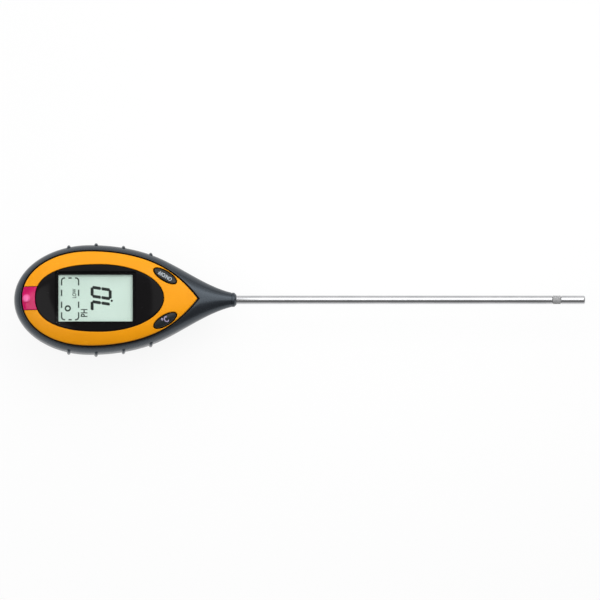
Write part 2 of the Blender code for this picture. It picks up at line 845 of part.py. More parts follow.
def key(name, side):
    """An oval cap that comes up through the plate, with a flange below the deck and a short stem."""
    station = KEY_STATION
    stem = ellipse(KEY_STEM_RADIUS, KEY_STEM_RADIUS, -side * KEY_TILT, station, side * KEY_SIDE)
    flange = key_ellipse(side, KEY_FLANGE - KEY_RING)
    cap = key_ellipse(side, -KEY_RING)
    brow = key_ellipse(side, -KEY_RING - KEY_EDGE)
    middle = key_ellipse(side, -KEY_OPENING_SHORT / 2)

    def under(s, y):
        return ceiling_z(s, y) - SEAT_GAP

    def lifted(rise):
        return lambda s, y: front_z(s, y) + KEY_PROUD + rise

    levels = [
        (stem, lambda s, y: PLUNGER_TOP + SEAT_GAP),
        (stem, lambda s, y: under(s, y) - KEY_FLANGE_THICKNESS),
        (flange, lambda s, y: under(s, y) - KEY_FLANGE_THICKNESS),
        (flange, under),
        (cap, under),
        (cap, lifted(-KEY_EDGE)),
        (brow, lifted(0.0)),
        (middle, lifted(KEY_CROWN)),
    ]
    return solid(name, [[[(x_at(s), y, level(s, y)) for s, y in ring] for ring, level in levels]])


def compartment():
    """Walls and roof round the battery and the screw posts beside them, kept inside the rear skin."""
    outer = COMPARTMENT_HALF + COMPARTMENT_WALL
    start = COMPARTMENT_START - COMPARTMENT_WALL
    end = COMPARTMENT_END + COMPARTMENT_WALL
    roof = COMPARTMENT_TOP + COMPARTMENT_ROOF
    core = solid("compartment", [box(start, end, -outer, outer, WALL / 2, roof)])
    profile = [
        (WELL_RADIUS + WELL_WALL, WALL / 3),
        (WELL_RADIUS + WELL_WALL, SCREW_SEAT_Z + WALL),
        (POST_RADIUS, SCREW_SEAT_Z + WALL),
        (POST_RADIUS, BOARD_BOTTOM - SEAT_GAP),
    ]
    posts = solid("screw_posts", [turned_up(s, y, profile, SMALL_SIDES) for s, y in screw_places()])
    inset = WALL - CORE_DEPTH_IN_WALL

    def skin(station, y):
        return back_z(station, y, inset)

    limit = hull("skin_limit", skin, no_flat, BOARD_TOP, CAVITY_END, inset, CAVITY_ACROSS)
    join(core, posts)
    keep(core, limit)
    return core


def compartment_rooms():
    """The battery's space, the seat of the door and the slot for the leads, each as a cutter."""
    low = -CUT_MARGIN
    half = COMPARTMENT_HALF
    battery_room = box(COMPARTMENT_START, COMPARTMENT_END, -half, half, low, COMPARTMENT_TOP)
    half = DOOR_HALF + SEAT_GAP
    door_seat = box(DOOR_START - SEAT_GAP, HINGE_STATION, -half, half, low, COMPARTMENT_FLOOR)
    half = LEAD_SPACING / 2 + LEAD_SPACE
    low = COMPARTMENT_TOP - CUT_MARGIN
    high = COMPARTMENT_TOP + COMPARTMENT_ROOF + CUT_MARGIN
    lead_slot = box(CONNECTOR_END, COMPARTMENT_END, -half, half, low, high)
    return (
        solid("battery_room", [battery_room]),
        solid("door_seat", [door_seat]),
        solid("lead_slot", [lead_slot]),
    )


def tab_slots():
    """Slots in the compartment's end wall through which the door's tabs reach and swing."""
    start = COMPARTMENT_END - CUT_MARGIN
    end = HINGE_STATION + TAB_REACH
    bottom = WALL - TAB_SLOT_RELIEF
    top = WALL + SEAT_GAP + TAB_THICKNESS + TAB_REACH
    half = TAB_WIDTH / 2 + SEAT_GAP
    middles = [side * TAB_SIDE for side in (-1, 1)]
    bodies = [box(start, end, middle - half, middle + half, bottom, top) for middle in middles]
    return solid("tab_slots", bodies)


def screw_wells():
    profile = [
        (WELL_RADIUS, -CUT_MARGIN),
        (WELL_RADIUS, SCREW_SEAT_Z),
        (SCREW_HOLE, SCREW_SEAT_Z),
        (SCREW_HOLE, BOARD_TOP),
    ]
    return solid("screw_wells", [turned_up(s, y, profile, SMALL_SIDES) for s, y in screw_places()])


def rear_shell(room):
    base = PARTING_Z - SEAM_GAP / 2
    high = base + CUT_MARGIN

    def outside(station, y):
        return max(0.0, back_z(station, y))

    def inside(station, y):
        return max(WALL, back_z(station, y, WALL))

    def floor_half(station):
        return flat_half(station, WALL, WALL)

    shell = hull("rear_shell", outside, flat_half, high, NOSE_REACH, 0.0, SKIN_ACROSS)
    high += CUT_MARGIN
    cut(shell, hull("rear_cavity", inside, floor_half, high, CAVITY_END, WALL, CAVITY_ACROSS))
    join(shell, ribs("rear_ribs", back_z, base, BACK_RIB_SWEEP))
    cut(shell, level_block("rear_parting", base, high + CUT_MARGIN))
    join(shell, compartment())
    cut(shell, *compartment_rooms(), tab_slots(), screw_wells(), room)
    return shell


def battery_door():
    """A flat door with two hinge tabs at the nose end, a latch tongue at the top end and finger grooves."""
    top = DOOR_SINK + DOOR_THICKNESS
    door = solid("battery_door", [box(DOOR_START, DOOR_END, -DOOR_HALF, DOOR_HALF, DOOR_SINK, top)])
    middle = DOOR_SINK + DOOR_THICKNESS / 2
    finger_bottom = WALL + SEAT_GAP
    finger_top = finger_bottom + TAB_THICKNESS
    root = DOOR_END - TAB_ROOT
    tab_end = HINGE_STATION + TAB_REACH - SEAT_GAP
    outline = [
        (root, middle),
        (DOOR_END - SEAT_GAP, middle),
        (DOOR_END - SEAT_GAP, finger_bottom),
        (tab_end, finger_bottom),
        (tab_end, finger_top),
        (root, finger_top),
    ]
    tabs = []
    for side in (-1, 1):
        low = side * TAB_SIDE - TAB_WIDTH / 2
        tabs.append([[(x_at(s), y, z) for s, z in outline] for y in (low, low + TAB_WIDTH)])
    join(door, solid("door_tabs", tabs))
    start = COMPARTMENT_START + TONGUE_GAP
    end = start + TONGUE_THICKNESS
    half = TONGUE_WIDTH / 2
    join(door, solid("door_tongue", [box(start, end, -half, half, middle, top + TONGUE_HEIGHT)]))
    grooves = []
    for k in range(GRIP_COUNT):
        begin = DOOR_START + GRIP_INSET + k * GRIP_PITCH
        half = GRIP_LENGTH / 2
        grooves.append(box(begin, begin + GRIP_WIDTH, -half, half, -CUT_MARGIN, DOOR_SINK + GRIP_DEPTH))
    cut(door, solid("door_grooves", grooves))
    return door


def case_screw(number, station, side):
    top = SCREW_SEAT_Z - SEAT_GAP
    profile = [
        (SCREW_HEAD_RADIUS - SCREW_HEAD_CHAMFER, top - SCREW_HEAD_HEIGHT),
        (SCREW_HEAD_RADIUS, top - SCREW_HEAD_HEIGHT + SCREW_HEAD_CHAMFER),
        (SCREW_HEAD_RADIUS, top),
        (SCREW_RADIUS, top),
        (SCREW_RADIUS, BOARD_TOP + SCREW_GRIP - SCREW_RADIUS),
        (SCREW_RADIUS / 2, BOARD_TOP + SCREW_GRIP),
    ]
    return solid(f"case_screw_{number}", [turned_up(station, side, profile, SMALL_SIDES)])


# Pieces of the probe

def probe_hub():
    bore = PROBE_RADIUS + HUB_BORE_GAP
    profile = [
        (HUB_FLANGE_START, bore),
        (HUB_FLANGE_START, HUB_FLANGE_RADIUS),
        (HUB_FLANGE_END, HUB_FLANGE_RADIUS),
        (HUB_FLANGE_END, HUB_SPIGOT_RADIUS),
        (COLLAR_START, HUB_SPIGOT_RADIUS),
        (COLLAR_START, NOSE_RADIUS),
        (COLLAR_END - COLLAR_CHAMFER, NOSE_RADIUS),
        (COLLAR_END, COLLAR_END_RADIUS),
        (COLLAR_END, bore),
    ]
    return solid("probe_hub", [turned_along(profile)], looped=True)


def probe_tube():
    profile = [
        (TUBE_START, TUBE_BORE),
        (TUBE_START, PROBE_RADIUS),
        (TUBE_END, PROBE_RADIUS),
        (TUBE_END, TUBE_BORE),
    ]
    return solid("probe_tube", [turned_along(profile)], looped=True)


def probe_insulator():
    spigot = TUBE_BORE - SPIGOT_GAP
    bore = spigot - INSULATOR_WALL
    end = RING_START + RING_LENGTH
    profile = [
        (RING_START - SPIGOT_LENGTH, bore),
        (RING_START - SPIGOT_LENGTH, spigot),
        (RING_START, spigot),
        (RING_START, PROBE_RADIUS),
        (end, PROBE_RADIUS),
        (end, spigot),
        (end + SPIGOT_LENGTH, spigot),
        (end + SPIGOT_LENGTH, bore),
    ]
    return solid("probe_insulator", [turned_along(profile)], looped=True)


def probe_tip():
    """A blunt tip with a blind bore for the spigot and the thermistor."""
    profile = [
        (TIP_START + TIP_BORE_DEPTH, TUBE_BORE),
        (TIP_START, TUBE_BORE),
        (TIP_START, PROBE_RADIUS),
    ]
    for k in range(DOME_STEPS + 1):
        turn = math.pi / 2 * k / DOME_STEPS
        station = PROBE_END - TIP_ROUND * (1 - math.sin(turn))
        profile.append((station, PROBE_RADIUS - TIP_ROUND * (1 - math.cos(turn))))
    return solid("probe_tip", [turned_along(profile)])


def thermistor():
    start = TIP_START + SPIGOT_LENGTH + SEAT_GAP
    profile = [(start, BEAD_RADIUS), (start + BEAD_LENGTH, BEAD_RADIUS)]
    rings = turned_along(profile, height=PARTING_Z - BEAD_DROP, sides=SMALL_SIDES)
    return solid("thermistor", [rings])


def probe_wire(name, turn, far_end, landing_side):
    """A wire through the bore of the probe that bends up to the underside of the board."""
    y = WIRE_OFFSET * math.cos(turn)
    z = PARTING_Z + WIRE_OFFSET * math.sin(turn)
    run = [(x_at(far_end), y, z), (x_at(CAVITY_END), y, z), (x_at(TUBE_START - WIRE_RADIUS), y, z)]
    halfway = (x_at(WIRE_BEND), (y + landing_side) / 2, z)
    top = BOARD_BOTTOM - SEAT_GAP
    rise = (x_at(WIRE_LANDING), landing_side, top - WIRE_RADIUS)
    landing = (x_at(WIRE_LANDING), landing_side, top)
    return cord(name, run + [halfway, rise, landing], WIRE_RADIUS)


# Pieces inside the head

def circuit_board():
    outline = (BOARD_INSET - TOP_REACH, BOARD_END, lambda s: half_width(s, BOARD_INSET))
    board = flat_sheet("circuit_board", outline, BOARD_BOTTOM, BOARD_TOP)
    profile = [(SCREW_HOLE, BOARD_BOTTOM - CUT_MARGIN), (SCREW_HOLE, BOARD_TOP + CUT_MARGIN)]
    holes = [turned_up(s, y, profile, SMALL_SIDES) for s, y in screw_places()]
    cut(board, solid("board_holes", holes))
    return board


def display_glass():
    start = VIEW_STATION - GLASS_HALF_LENGTH
    end = VIEW_STATION + GLASS_HALF_LENGTH
    sides = (-GLASS_HALF_WIDTH, GLASS_HALF_WIDTH)
    return solid("display_glass", [box(start, end, *sides, GLASS_BOTTOM, GLASS_TOP)])


def display_frame():
    """A frame round the glass that stands on the board."""
    def edge(half_length, half_side):
        return rectangle(VIEW_STATION - half_length, VIEW_STATION + half_length, -half_side, half_side)

    outer = edge(FRAME_HALF_LENGTH, FRAME_HALF_WIDTH)
    inner = edge(FRAME_HALF_LENGTH - FRAME_WALL, FRAME_HALF_WIDTH - FRAME_WALL)
    low = BOARD_TOP + SEAT_GAP
    rings = [*upright(outer, low, FRAME_TOP), *upright(inner, FRAME_TOP, low)]
    return solid("display_frame", [rings], looped=True)


def contact_strip(number, side):
    middle = side * (VIEW_WIDTH / 2 - STRIP_WIDTH)
    low = middle - STRIP_WIDTH / 2
    start = VIEW_STATION - VIEW_LENGTH / 2
    bottom = BOARD_TOP + SEAT_GAP
    top = GLASS_BOTTOM - SEAT_GAP
    strip = box(start, start + VIEW_LENGTH, low, low + STRIP_WIDTH, bottom, top)
    return solid(f"contact_strip_{number}", [strip])


def switch_body(name, side):
    switch = solid(name, [upright(switch_outline(side), BOARD_TOP + SEAT_GAP, SWITCH_TOP)])
    radius = PLUNGER_RADIUS + SEAT_GAP
    floor = SWITCH_TOP - 2 * KEY_TRAVEL - SEAT_GAP / 2
    profile = [(radius, floor), (radius, SWITCH_TOP + CUT_MARGIN)]
    well = turned_up(KEY_STATION, side * KEY_SIDE, profile, SMALL_SIDES)
    cut(switch, solid(f"{name}_well", [well]))
    return switch


def switch_plunger(name, side):
    low = SWITCH_TOP - KEY_TRAVEL
    profile = [(PLUNGER_RADIUS, low), (PLUNGER_RADIUS, PLUNGER_TOP)]
    return solid(name, [turned_up(KEY_STATION, side * KEY_SIDE, profile, SMALL_SIDES)])


def controller_chip():
    half = CHIP_SIZE / 2
    bottom = BOARD_TOP + SEAT_GAP
    chip = box(CHIP_STATION - half, CHIP_STATION + half, -half, half, bottom, bottom + CHIP_HEIGHT)
    return solid("controller_chip", [chip])


def light_sensor():
    """A round sensor with a domed head that looks up through the deck into the window."""
    top = deck_z(DOME_STATION - SENSOR_RADIUS, SENSOR_RADIUS) - SEAT_GAP
    profile = [(SENSOR_RADIUS, BOARD_TOP + SEAT_GAP)]
    for k in range(DOME_STEPS):
        turn = math.pi / 2 * k / DOME_STEPS
        profile.append((SENSOR_RADIUS * math.cos(turn), top - SENSOR_RADIUS * (1 - math.sin(turn))))
    return solid("light_sensor", [turned_up(DOME_STATION, 0.0, profile, SMALL_SIDES)])


def battery_middle():
    return BATTERY_BOTTOM + BATTERY_DEPTH / 2


def battery_ring(station, shrink):
    half = BATTERY_WIDTH / 2 - shrink
    low = BATTERY_BOTTOM + shrink
    high = BATTERY_BOTTOM + BATTERY_DEPTH - shrink
    return [(x_at(station), y, z) for y, z in rectangle(-half, half, low, high)]


def battery_jacket():
    rings = [
        battery_ring(BATTERY_START, JACKET_WALL),
        battery_ring(BATTERY_START, 0.0),
        battery_ring(BATTERY_END - SEAT_GAP, 0.0),
        battery_ring(BATTERY_END - SEAT_GAP, JACKET_WALL),
    ]
    return solid("battery_jacket", [rings], looped=True)


def battery_core():
    shrink = JACKET_WALL + SEAT_GAP
    ends = (BATTERY_START + SEAT_GAP, BATTERY_END - TERMINAL_LENGTH / 2)
    return solid("battery_core", [[battery_ring(station, shrink) for station in ends]])


def terminal_span():
    start = BATTERY_END - TERMINAL_LENGTH / 2 + SEAT_GAP
    return start, CONNECTOR_START + TERMINAL_LENGTH


def battery_stud():
    profile = [(station, STUD_RADIUS) for station in terminal_span()]
    rings = turned_along(profile, TERMINAL_SPACING / 2, battery_middle())
    return solid("battery_stud", [rings])


def battery_socket():
    start, end = terminal_span()
    profile = [(start, SOCKET_BORE), (start, SOCKET_RADIUS), (end, SOCKET_RADIUS), (end, SOCKET_BORE)]
    rings = turned_along(profile, -TERMINAL_SPACING / 2, battery_middle())
    return solid("battery_socket", [rings], looped=True)


def battery_connector():
    """A flat cap over the battery's terminals, with a pocket for each."""
    half = CONNECTOR_WIDTH / 2
    low = battery_middle() - CONNECTOR_HEIGHT / 2
    block = box(CONNECTOR_START, CONNECTOR_END, -half, half, low, low + CONNECTOR_HEIGHT)
    cap = solid("battery_connector", [block])
    pockets = []
    for side, radius in ((1, STUD_RADIUS), (-1, SOCKET_RADIUS)):
        ends = (CONNECTOR_START - CUT_MARGIN, CONNECTOR_START + TERMINAL_LENGTH + SEAT_GAP)
        profile = [(station, radius + SEAT_GAP) for station in ends]
        pockets.append(turned_along(profile, side * TERMINAL_SPACING / 2, battery_middle()))
    cut(cap, solid("connector_pockets", pockets))
    return cap


def battery_lead(name, side):
    """A lead from the connector up through the roof of the compartment to the board."""
    y = side * LEAD_SPACING / 2
    bend = (CONNECTOR_END + COMPARTMENT_END) / 2
    low = battery_middle()
    route = [
        (x_at(CONNECTOR_END + SEAT_GAP), y, low),
        (x_at(CONNECTOR_END + SEAT_GAP + LEAD_RADIUS), y, low),
        (x_at(bend), y, low + LEAD_RISE),
        (x_at(bend), y, COMPARTMENT_TOP),
        (x_at(bend), y, BOARD_BOTTOM - SEAT_GAP),
    ]
    return cord(name, route, LEAD_RADIUS)


# Assembly

def clear_scene():
    for obj in list(bpy.data.objects):
        bpy.data.objects.remove(obj, do_unlink=True)


def make_head(case, looks):
    room = hub_room()
    give(front_shell(room), looks["case"], case)
    give(rear_shell(room), looks["case"], case)
    give(face_plate(), looks["face"], case)
    give(display_lens(), looks["lens"], case)
    give(light_window(), looks["window"], case)
    for number, (station, side) in enumerate(screw_places(), 1):
        give(case_screw(number, station, side), looks["zinc"], case)


def make_keys(case, looks):
    for name, side in (("power", 1), ("unit", -1)):
        place = (x_at(KEY_STATION), side * KEY_SIDE, PLUNGER_TOP)
        slide = body(f"{name}_key_slide", place, case)
        give(key(f"{name}_key", side), looks["key"], slide)
        give(switch_plunger(f"{name}_plunger", side), looks["key"], slide)
        give(switch_body(f"{name}_switch", side), looks["component"], case)


def make_door(case, looks):
    hinge = body("battery_door_hinge", (x_at(HINGE_STATION), 0.0, 0.0), case)
    give(battery_door(), looks["case"], hinge)


def make_probe(case, looks):
    give(probe_hub(), looks["case"], case)
    give(probe_tube(), looks["steel"], case)
    give(probe_insulator(), looks["insulator"], case)
    give(probe_tip(), looks["steel"], case)
    give(thermistor(), looks["component"], case)
    tip_end = TIP_START + TIP_BORE_DEPTH - SEAT_GAP
    bead_end = TIP_START + SPIGOT_LENGTH
    upright_turn = math.pi / 2
    give(probe_wire("tip_lead", upright_turn, tip_end, 0.0), looks["black_wire"], case)
    for number, side in enumerate((-1, 1), 1):
        turn = upright_turn - side * 2 * math.pi / 3
        wire = probe_wire(f"sensor_lead_{number}", turn, bead_end, side * WIRE_SPACING)
        give(wire, looks["red_wire"], case)


def make_inside(case, looks):
    give(circuit_board(), looks["board"], case)
    give(display_glass(), looks["glass"], case)
    give(display_frame(), looks["insulator"], case)
    for number, side in enumerate((-1, 1), 1):
        give(contact_strip(number, side), looks["strip"], case)
    give(controller_chip(), looks["component"], case)
    give(light_sensor(), looks["sensor"], case)


def make_battery(case, looks):
    give(battery_jacket(), looks["jacket"], case)
    give(battery_core(), looks["component"], case)
    give(battery_stud(), looks["zinc"], case)
    give(battery_socket(), looks["zinc"], case)
    give(battery_connector(), looks["component"], case)
    give(battery_lead("red_lead", 1), looks["red_wire"], case)
    give(battery_lead("black_lead", -1), looks["black_wire"], case)


def make_looks():
    return {
        "case": material("case_plastic", (58, 61, 66), 0.42),
        "face": material("face_plastic", (246, 164, 26), 0.38),
        "lens": material("lens_acrylic", (33, 31, 32), 0.08),
        "window": material("window_acrylic", (214, 18, 104), 0.2),
        "key": material("key_plastic", (66, 70, 80), 0.35),
        "steel": material("probe_steel", (214, 214, 216), 0.16, 1.0),
        "zinc": material("zinc_steel", (176, 178, 182), 0.35, 1.0),
        "insulator": material("insulator_plastic", (186, 186, 188), 0.45),
        "board": material("board_laminate", (24, 84, 52), 0.5),
        "glass": material("display_glass", (207, 231, 218), 0.15),
        "strip": material("strip_rubber", (72, 72, 76), 0.8),
        "component": material("component_plastic", (28, 28, 30), 0.5),
        "sensor": material("sensor_resin", (226, 226, 214), 0.1),
        "jacket": material("battery_metal", (150, 152, 158), 0.4, 0.8),
        "red_wire": material("red_wire", (176, 22, 22), 0.5),
        "black_wire": material("black_wire", (20, 20, 22), 0.5),
    }


def main():
    clear_scene()
    looks = make_looks()
    case = body("case")
    make_head(case, looks)
    make_keys(case, looks)
    make_door(case, looks)
    make_probe(case, looks)
    make_inside(case, looks)
    make_battery(case, looks)


main()
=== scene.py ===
import json
import math

import bmesh
import bpy
from mathutils import Matrix, Vector


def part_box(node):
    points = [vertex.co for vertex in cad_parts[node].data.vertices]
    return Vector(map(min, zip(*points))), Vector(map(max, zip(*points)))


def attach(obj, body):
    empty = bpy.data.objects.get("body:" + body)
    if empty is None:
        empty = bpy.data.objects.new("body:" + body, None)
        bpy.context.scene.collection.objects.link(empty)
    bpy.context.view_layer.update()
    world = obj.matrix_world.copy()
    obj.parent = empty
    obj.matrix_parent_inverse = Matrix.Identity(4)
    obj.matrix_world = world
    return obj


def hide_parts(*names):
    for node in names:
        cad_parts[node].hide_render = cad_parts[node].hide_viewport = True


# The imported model, and its box before anything is added. All sizes are in metres.
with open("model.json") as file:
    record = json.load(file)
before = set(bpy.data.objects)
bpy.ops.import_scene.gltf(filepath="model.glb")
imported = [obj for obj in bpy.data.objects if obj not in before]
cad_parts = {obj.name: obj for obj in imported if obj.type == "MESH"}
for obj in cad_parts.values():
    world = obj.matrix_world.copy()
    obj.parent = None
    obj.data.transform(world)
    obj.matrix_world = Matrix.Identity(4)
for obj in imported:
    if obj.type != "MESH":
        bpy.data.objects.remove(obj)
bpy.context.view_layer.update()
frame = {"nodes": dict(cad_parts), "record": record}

# Outline and crown of the head, with the values of the solids
ORIGIN_STATION = 0.038
HALF_WIDTH = 0.03085
TOP_REACH = 0.043
SHOULDER_REACH = 0.060
TAPER_START = 0.037
NOSE_REACH = 0.0797
NOSE_RADIUS = 0.00405
NOSE_SLOPE = -0.24
FRONT_HEIGHT = 0.014
FRONT_TAPER_START = 0.027
BACK_BULGE = 0.004
BACK_TAPER_LEAD = 0.0006
CROWN_POWER = 3.0
NOSE_POWER = 2.0
POWER_BLEND_START = 0.030

# Clearances and walls; the groove round the face plate is wider than in the solids
SEAT_GAP = 0.0003
SEAM_GAP = 0.0003
KEY_GAP = 0.00035
GROOVE_WIDTH = 0.0008
WALL = 0.002
DECK = 0.0016
CAVITY_END = 0.060
CUT_MARGIN = 0.001
PARTING_Z = 0.02205

# Grip ribs
RIB_COUNT = 4
RIB_FIRST = -0.0121
RIB_PITCH = 0.0154
RIB_WIDTH = 0.0022
RIB_HEIGHT = 0.0012
RIB_SINK = 0.0003
RIB_ROOT = 0.0012
RIB_STEPS = 18
RIB_BENDS = 12
FRONT_RIB_SWEEP = math.radians(16)
BACK_RIB_SWEEP = math.radians(52)

# Face plate, lens and light window
PLATE_THICKNESS = 0.002
SIDE_RIM = 0.00425
TOP_RIM = 0.0045
SHOULDER_RIM = 0.006
PLATE_TIP = 0.0603
PLATE_TIP_SLOPE = -1.3
PLATE_TOP_POWER = 2.1
TIP_SPREAD = 1.5
LENS_SIDE_BAND = 0.00775
LENS_TOP_BAND = 0.0075
LENS_CENTRE = 0.0053
LENS_END = 0.0412
LENS_TOP_POWER = 2.4
WINDOW_HALF_WIDTH = 0.0065
DOME_STATION = -0.0362
DOME_LENGTH = 0.0034
DOME_WIDTH = 0.005
DOME_HEIGHT = 0.0006
SENSOR_RADIUS = 0.0019

# Display
VIEW_STATION = 0.0028
VIEW_LENGTH = 0.0419
VIEW_WIDTH = 0.0264
VIEW_CORNER = 0.0005
VIEW_RELIEF = 0.0018
GLASS_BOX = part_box("display_glass")

# Keys
KEY_STATION = 0.0421
KEY_BAND = 0.0041
KEY_OPENING_LONG = 0.0077
KEY_OPENING_SHORT = 0.0032
KEY_RING = 0.0007
KEY_PROUD = 0.0003
KEY_CROWN = 0.0003
KEY_EDGE = 0.0005
KEY_FLANGE = 0.0008
KEY_FLANGE_THICKNESS = 0.0007
KEY_STEM_RADIUS = 0.0015

# Back: battery compartment, door and screws
DOOR_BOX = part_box("battery_door")
SCREW_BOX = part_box("case_screw_1")
BOARD_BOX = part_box("circuit_board")
DOOR_THICKNESS = 0.0017
DOOR_LEDGE = 0.001
DOOR_FILLET = 0.0004
DOOR_CORNER = 0.0008
TAB_REACH = 0.0032
TAB_ROOT = 0.0016
TAB_SIDE = 0.009
TAB_WIDTH = 0.006
TAB_THICKNESS = 0.0015
TAB_SLOT_RELIEF = 0.0001
TONGUE_GAP = 0.0006
TONGUE_THICKNESS = 0.0012
TONGUE_WIDTH = 0.012
TONGUE_HEIGHT = 0.004
GRIP_COUNT = 3
GRIP_PITCH = 0.0024
GRIP_WIDTH = 0.0011
GRIP_LENGTH = 0.014
GRIP_DEPTH = 0.0006
GRIP_INSET = 0.004
GRIP_ROUND = GRIP_WIDTH / 2.01
GRIP_BOTTOM_ROUND = GRIP_WIDTH / 4.1
COMPARTMENT_TOP = 0.0205
COMPARTMENT_ROOF = 0.00125
COMPARTMENT_WALL = 0.0024
SCREW_HEAD_HEIGHT = 0.002
SCREW_RADIUS = 0.0014
SCREW_DIMPLE_SHARE = 0.3
SCREW_FACE_SHARE = 0.8
SCREW_RIM_SHARE = 0.45
SCREW_SLOT = 0.0007
SCREW_SLOT_SHARE = 0.62
SCREW_SLOT_TAPER = 0.55
SCREW_HOLE = 0.0017
SCREW_BORE = 0.00155
SCREW_GRIP = 0.003
SCREW_COUNT = 4
BOSS_RADIUS = 0.0026
WELL_RADIUS = 0.0028
WELL_WALL = 0.0012
POST_RADIUS = 0.0032
LEAD_SPACING = 0.006
LEAD_SPACE = 0.002

# Probe and its hub
PROBE_RADIUS = 0.0024
PROBE_WALL = 0.0006
TIP_ROUND = 0.0009
TIP_BORE_DEPTH = 0.010
SPIGOT_LENGTH = 0.005
SPIGOT_GAP = 0.0001
INSULATOR_WALL = 0.0006
COLLAR_CHAMFER = 0.0012
COLLAR_END_RADIUS = 0.0028
HUB_SPIGOT_RADIUS = 0.0032
HUB_FLANGE_RADIUS = 0.0048
HUB_FLANGE_LENGTH = 0.0025
HUB_BORE_GAP = 0.0001
COLLAR_GAP = 0.0001

# Marks on the display and on the keys
MARK_PROUD = 0.00004
LETTER_STRETCH = 0.75
LETTER_WEIGHT = 0.022
LETTER_STEP = 0.0003
MARK_SINK = 0.00005
DIGIT_WIDTH = 0.0050
DIGIT_HEIGHT = 0.0102
DIGIT_PITCH = 0.0081
DIGIT_LEAN = 0.15
DIGIT_PLACE = (0.0030, -0.0032)
BAR_WIDTH = 0.0017
BAR_GAP = 0.00005
BAR_POINT = 0.0004
FRAME_ACROSS = (-0.0121, 0.0115)
FRAME_UP = (0.0095, 0.0191)
FRAME_ROUND = 0.0016
FRAME_LINE = 0.00075
FRAME_ACROSS_LEG = 0.0026
FRAME_UP_LEG = 0.0004
FRAME_DASH = 0.0036
FRAME_DASH_SIDE = (FRAME_ACROSS[1] - FRAME_ACROSS[0]) / 7
RING_PLACE = (-0.0057, 0.0156)
RING_OUTER = 0.0018
RING_INNER = 0.0009
WORD_PLACE = (0.0027, 0.0118)
WORD_SIZE = 0.0030
UNIT_PLACE = (-0.0083, 0.0062)
UNIT_SIZE = 0.0052
DOT_PLACE = (-0.0014, -0.0092)
DOT_RADIUS = 0.00066
POWER_LEGEND_SIZE = 0.0031
UNIT_LEGEND_SIZE = 0.0046

# Edge radii
FLAT_FILLET = 0.0008
EDGE_ROUND = 0.0002
GLASS_CORNER = 0.0004
RIM_FILLET = 0.00035
SEAM_EDGE = 0.00025
PLATE_FILLET = 0.0006
LENS_FILLET = 0.0004
HOLE_FILLET = 0.0003
NOTCH_CHAMFER = 0.0001
CORNER_SHARE = 0.45

# Camera, floor and light
CAMERA_LENS = 1000.0
CAMERA_SENSOR = 36.0
CAMERA_RISE = math.radians(85)
CAMERA_TURN = math.radians(15)
CAMERA_TARGET = (0.0804, -0.0001, PARTING_Z)
PHOTO_SPAN = 0.3388
FLOOR_HALF = 4.0
FLOOR_GAP = 0.0005
FLOOR_GLOW = 0.9
FLOOR_TINT = (245, 245, 245)
FLOOR_ROUGHNESS = 0.9
HORIZON_BAND = (0.03, 0.12)
SKY_TURN = (-0.5, 0.5)
SKY_NEAR = 0.22
SKY_FAR = 0.48
KEY_PLACE = (0.05, 0.80, 0.80)
SHEEN_PLACE = (0.05, 0.75, 0.75)
KEY_AIM = (0.05, 0.0, 0.0)
KEY_SIZE = (1.6, 1.0)
KEY_ENERGY = 4.3
SHEEN_ENERGY = 3.2
FILL_PLACE = (-0.45, -0.12, 0.75)
FILL_SIZE = (0.6, 0.6)
FILL_ENERGY = 2.3
STRIP_PLACE = (0.157, 0.085, 0.22)
STRIP_SIZE = (0.25, 0.23)
STRIP_ENERGY = 0.25

# Fineness of the meshes
SKIN_ROWS = 26
TOP_RAYS = 56
SIDE_RAYS = 84
NOSE_RAYS = 10
DECK_ROWS = 6
CEILING_ROWS = 12
PLATE_ROWS = 20
UNDERSIDE_ROWS = 8
KEY_ROWS = 12
EDGE_STEPS = 4
LENS_EDGE_STEPS = 5
BROAD_EDGE_STEPS = 6
FRAME_STEPS = 8
TIP_STEPS = 12
ROUND_SIDES = 96
SMALL_SIDES = 48
DOT_SIDES = 12
RAY_CENTRE = 0.0053
TURN_SOLVE_STEPS = 46

# A distance too small to see
HAIR = 1e-7

# Worked out from the sizes above
DECK_DROP = PLATE_THICKNESS + SEAT_GAP + DECK


# Curves of the head

def x_at(station):
    return station - ORIGIN_STATION


def ends(node):
    """Stations at which a node starts and ends."""
    low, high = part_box(node)
    return low.x + ORIGIN_STATION, high.x + ORIGIN_STATION


def hermite(t, length, start, start_slope, end, end_slope):
    """A cubic that leaves start and reaches end with the given slopes, t running from 0 to 1."""
    leave = (2 * t**3 - 3 * t**2 + 1) * start + (t**3 - 2 * t**2 + t) * length * start_slope
    arrive = (3 * t**2 - 2 * t**3) * end + (t**3 - t**2) * length * end_slope
    return leave + arrive


def quarter(distance, reach, half, power=2.0):
    """Half-width of a rounded end, a distance away from its widest section."""
    return half * max(0.0, 1 - abs(distance / reach) ** power) ** (1 / power)


def quarter_slope(distance, reach, half):
    return -(half**2) * distance / (reach**2 * quarter(distance, reach, half))


def taper(station, begin, start, start_slope):
    """A size that runs from start at the station begin down to the nose."""
    length = NOSE_REACH - begin
    return hermite((station - begin) / length, length, start, start_slope, NOSE_RADIUS, NOSE_SLOPE)


def half_width(station, inset=0.0):
    """Half-width of the head at a station, with the outline moved in by inset."""
    if station < 0:
        return quarter(station, TOP_REACH - inset, HALF_WIDTH - inset)
    if station <= TAPER_START:
        return quarter(station, SHOULDER_REACH, HALF_WIDTH) - inset
    start = quarter(TAPER_START, SHOULDER_REACH, HALF_WIDTH)
    slope = quarter_slope(TAPER_START, SHOULDER_REACH, HALF_WIDTH)
    return taper(station, TAPER_START, start, slope) - inset


def front_height(station):
    if station <= FRONT_TAPER_START:
        return FRONT_HEIGHT
    return taper(station, FRONT_TAPER_START, FRONT_HEIGHT, 0.0)


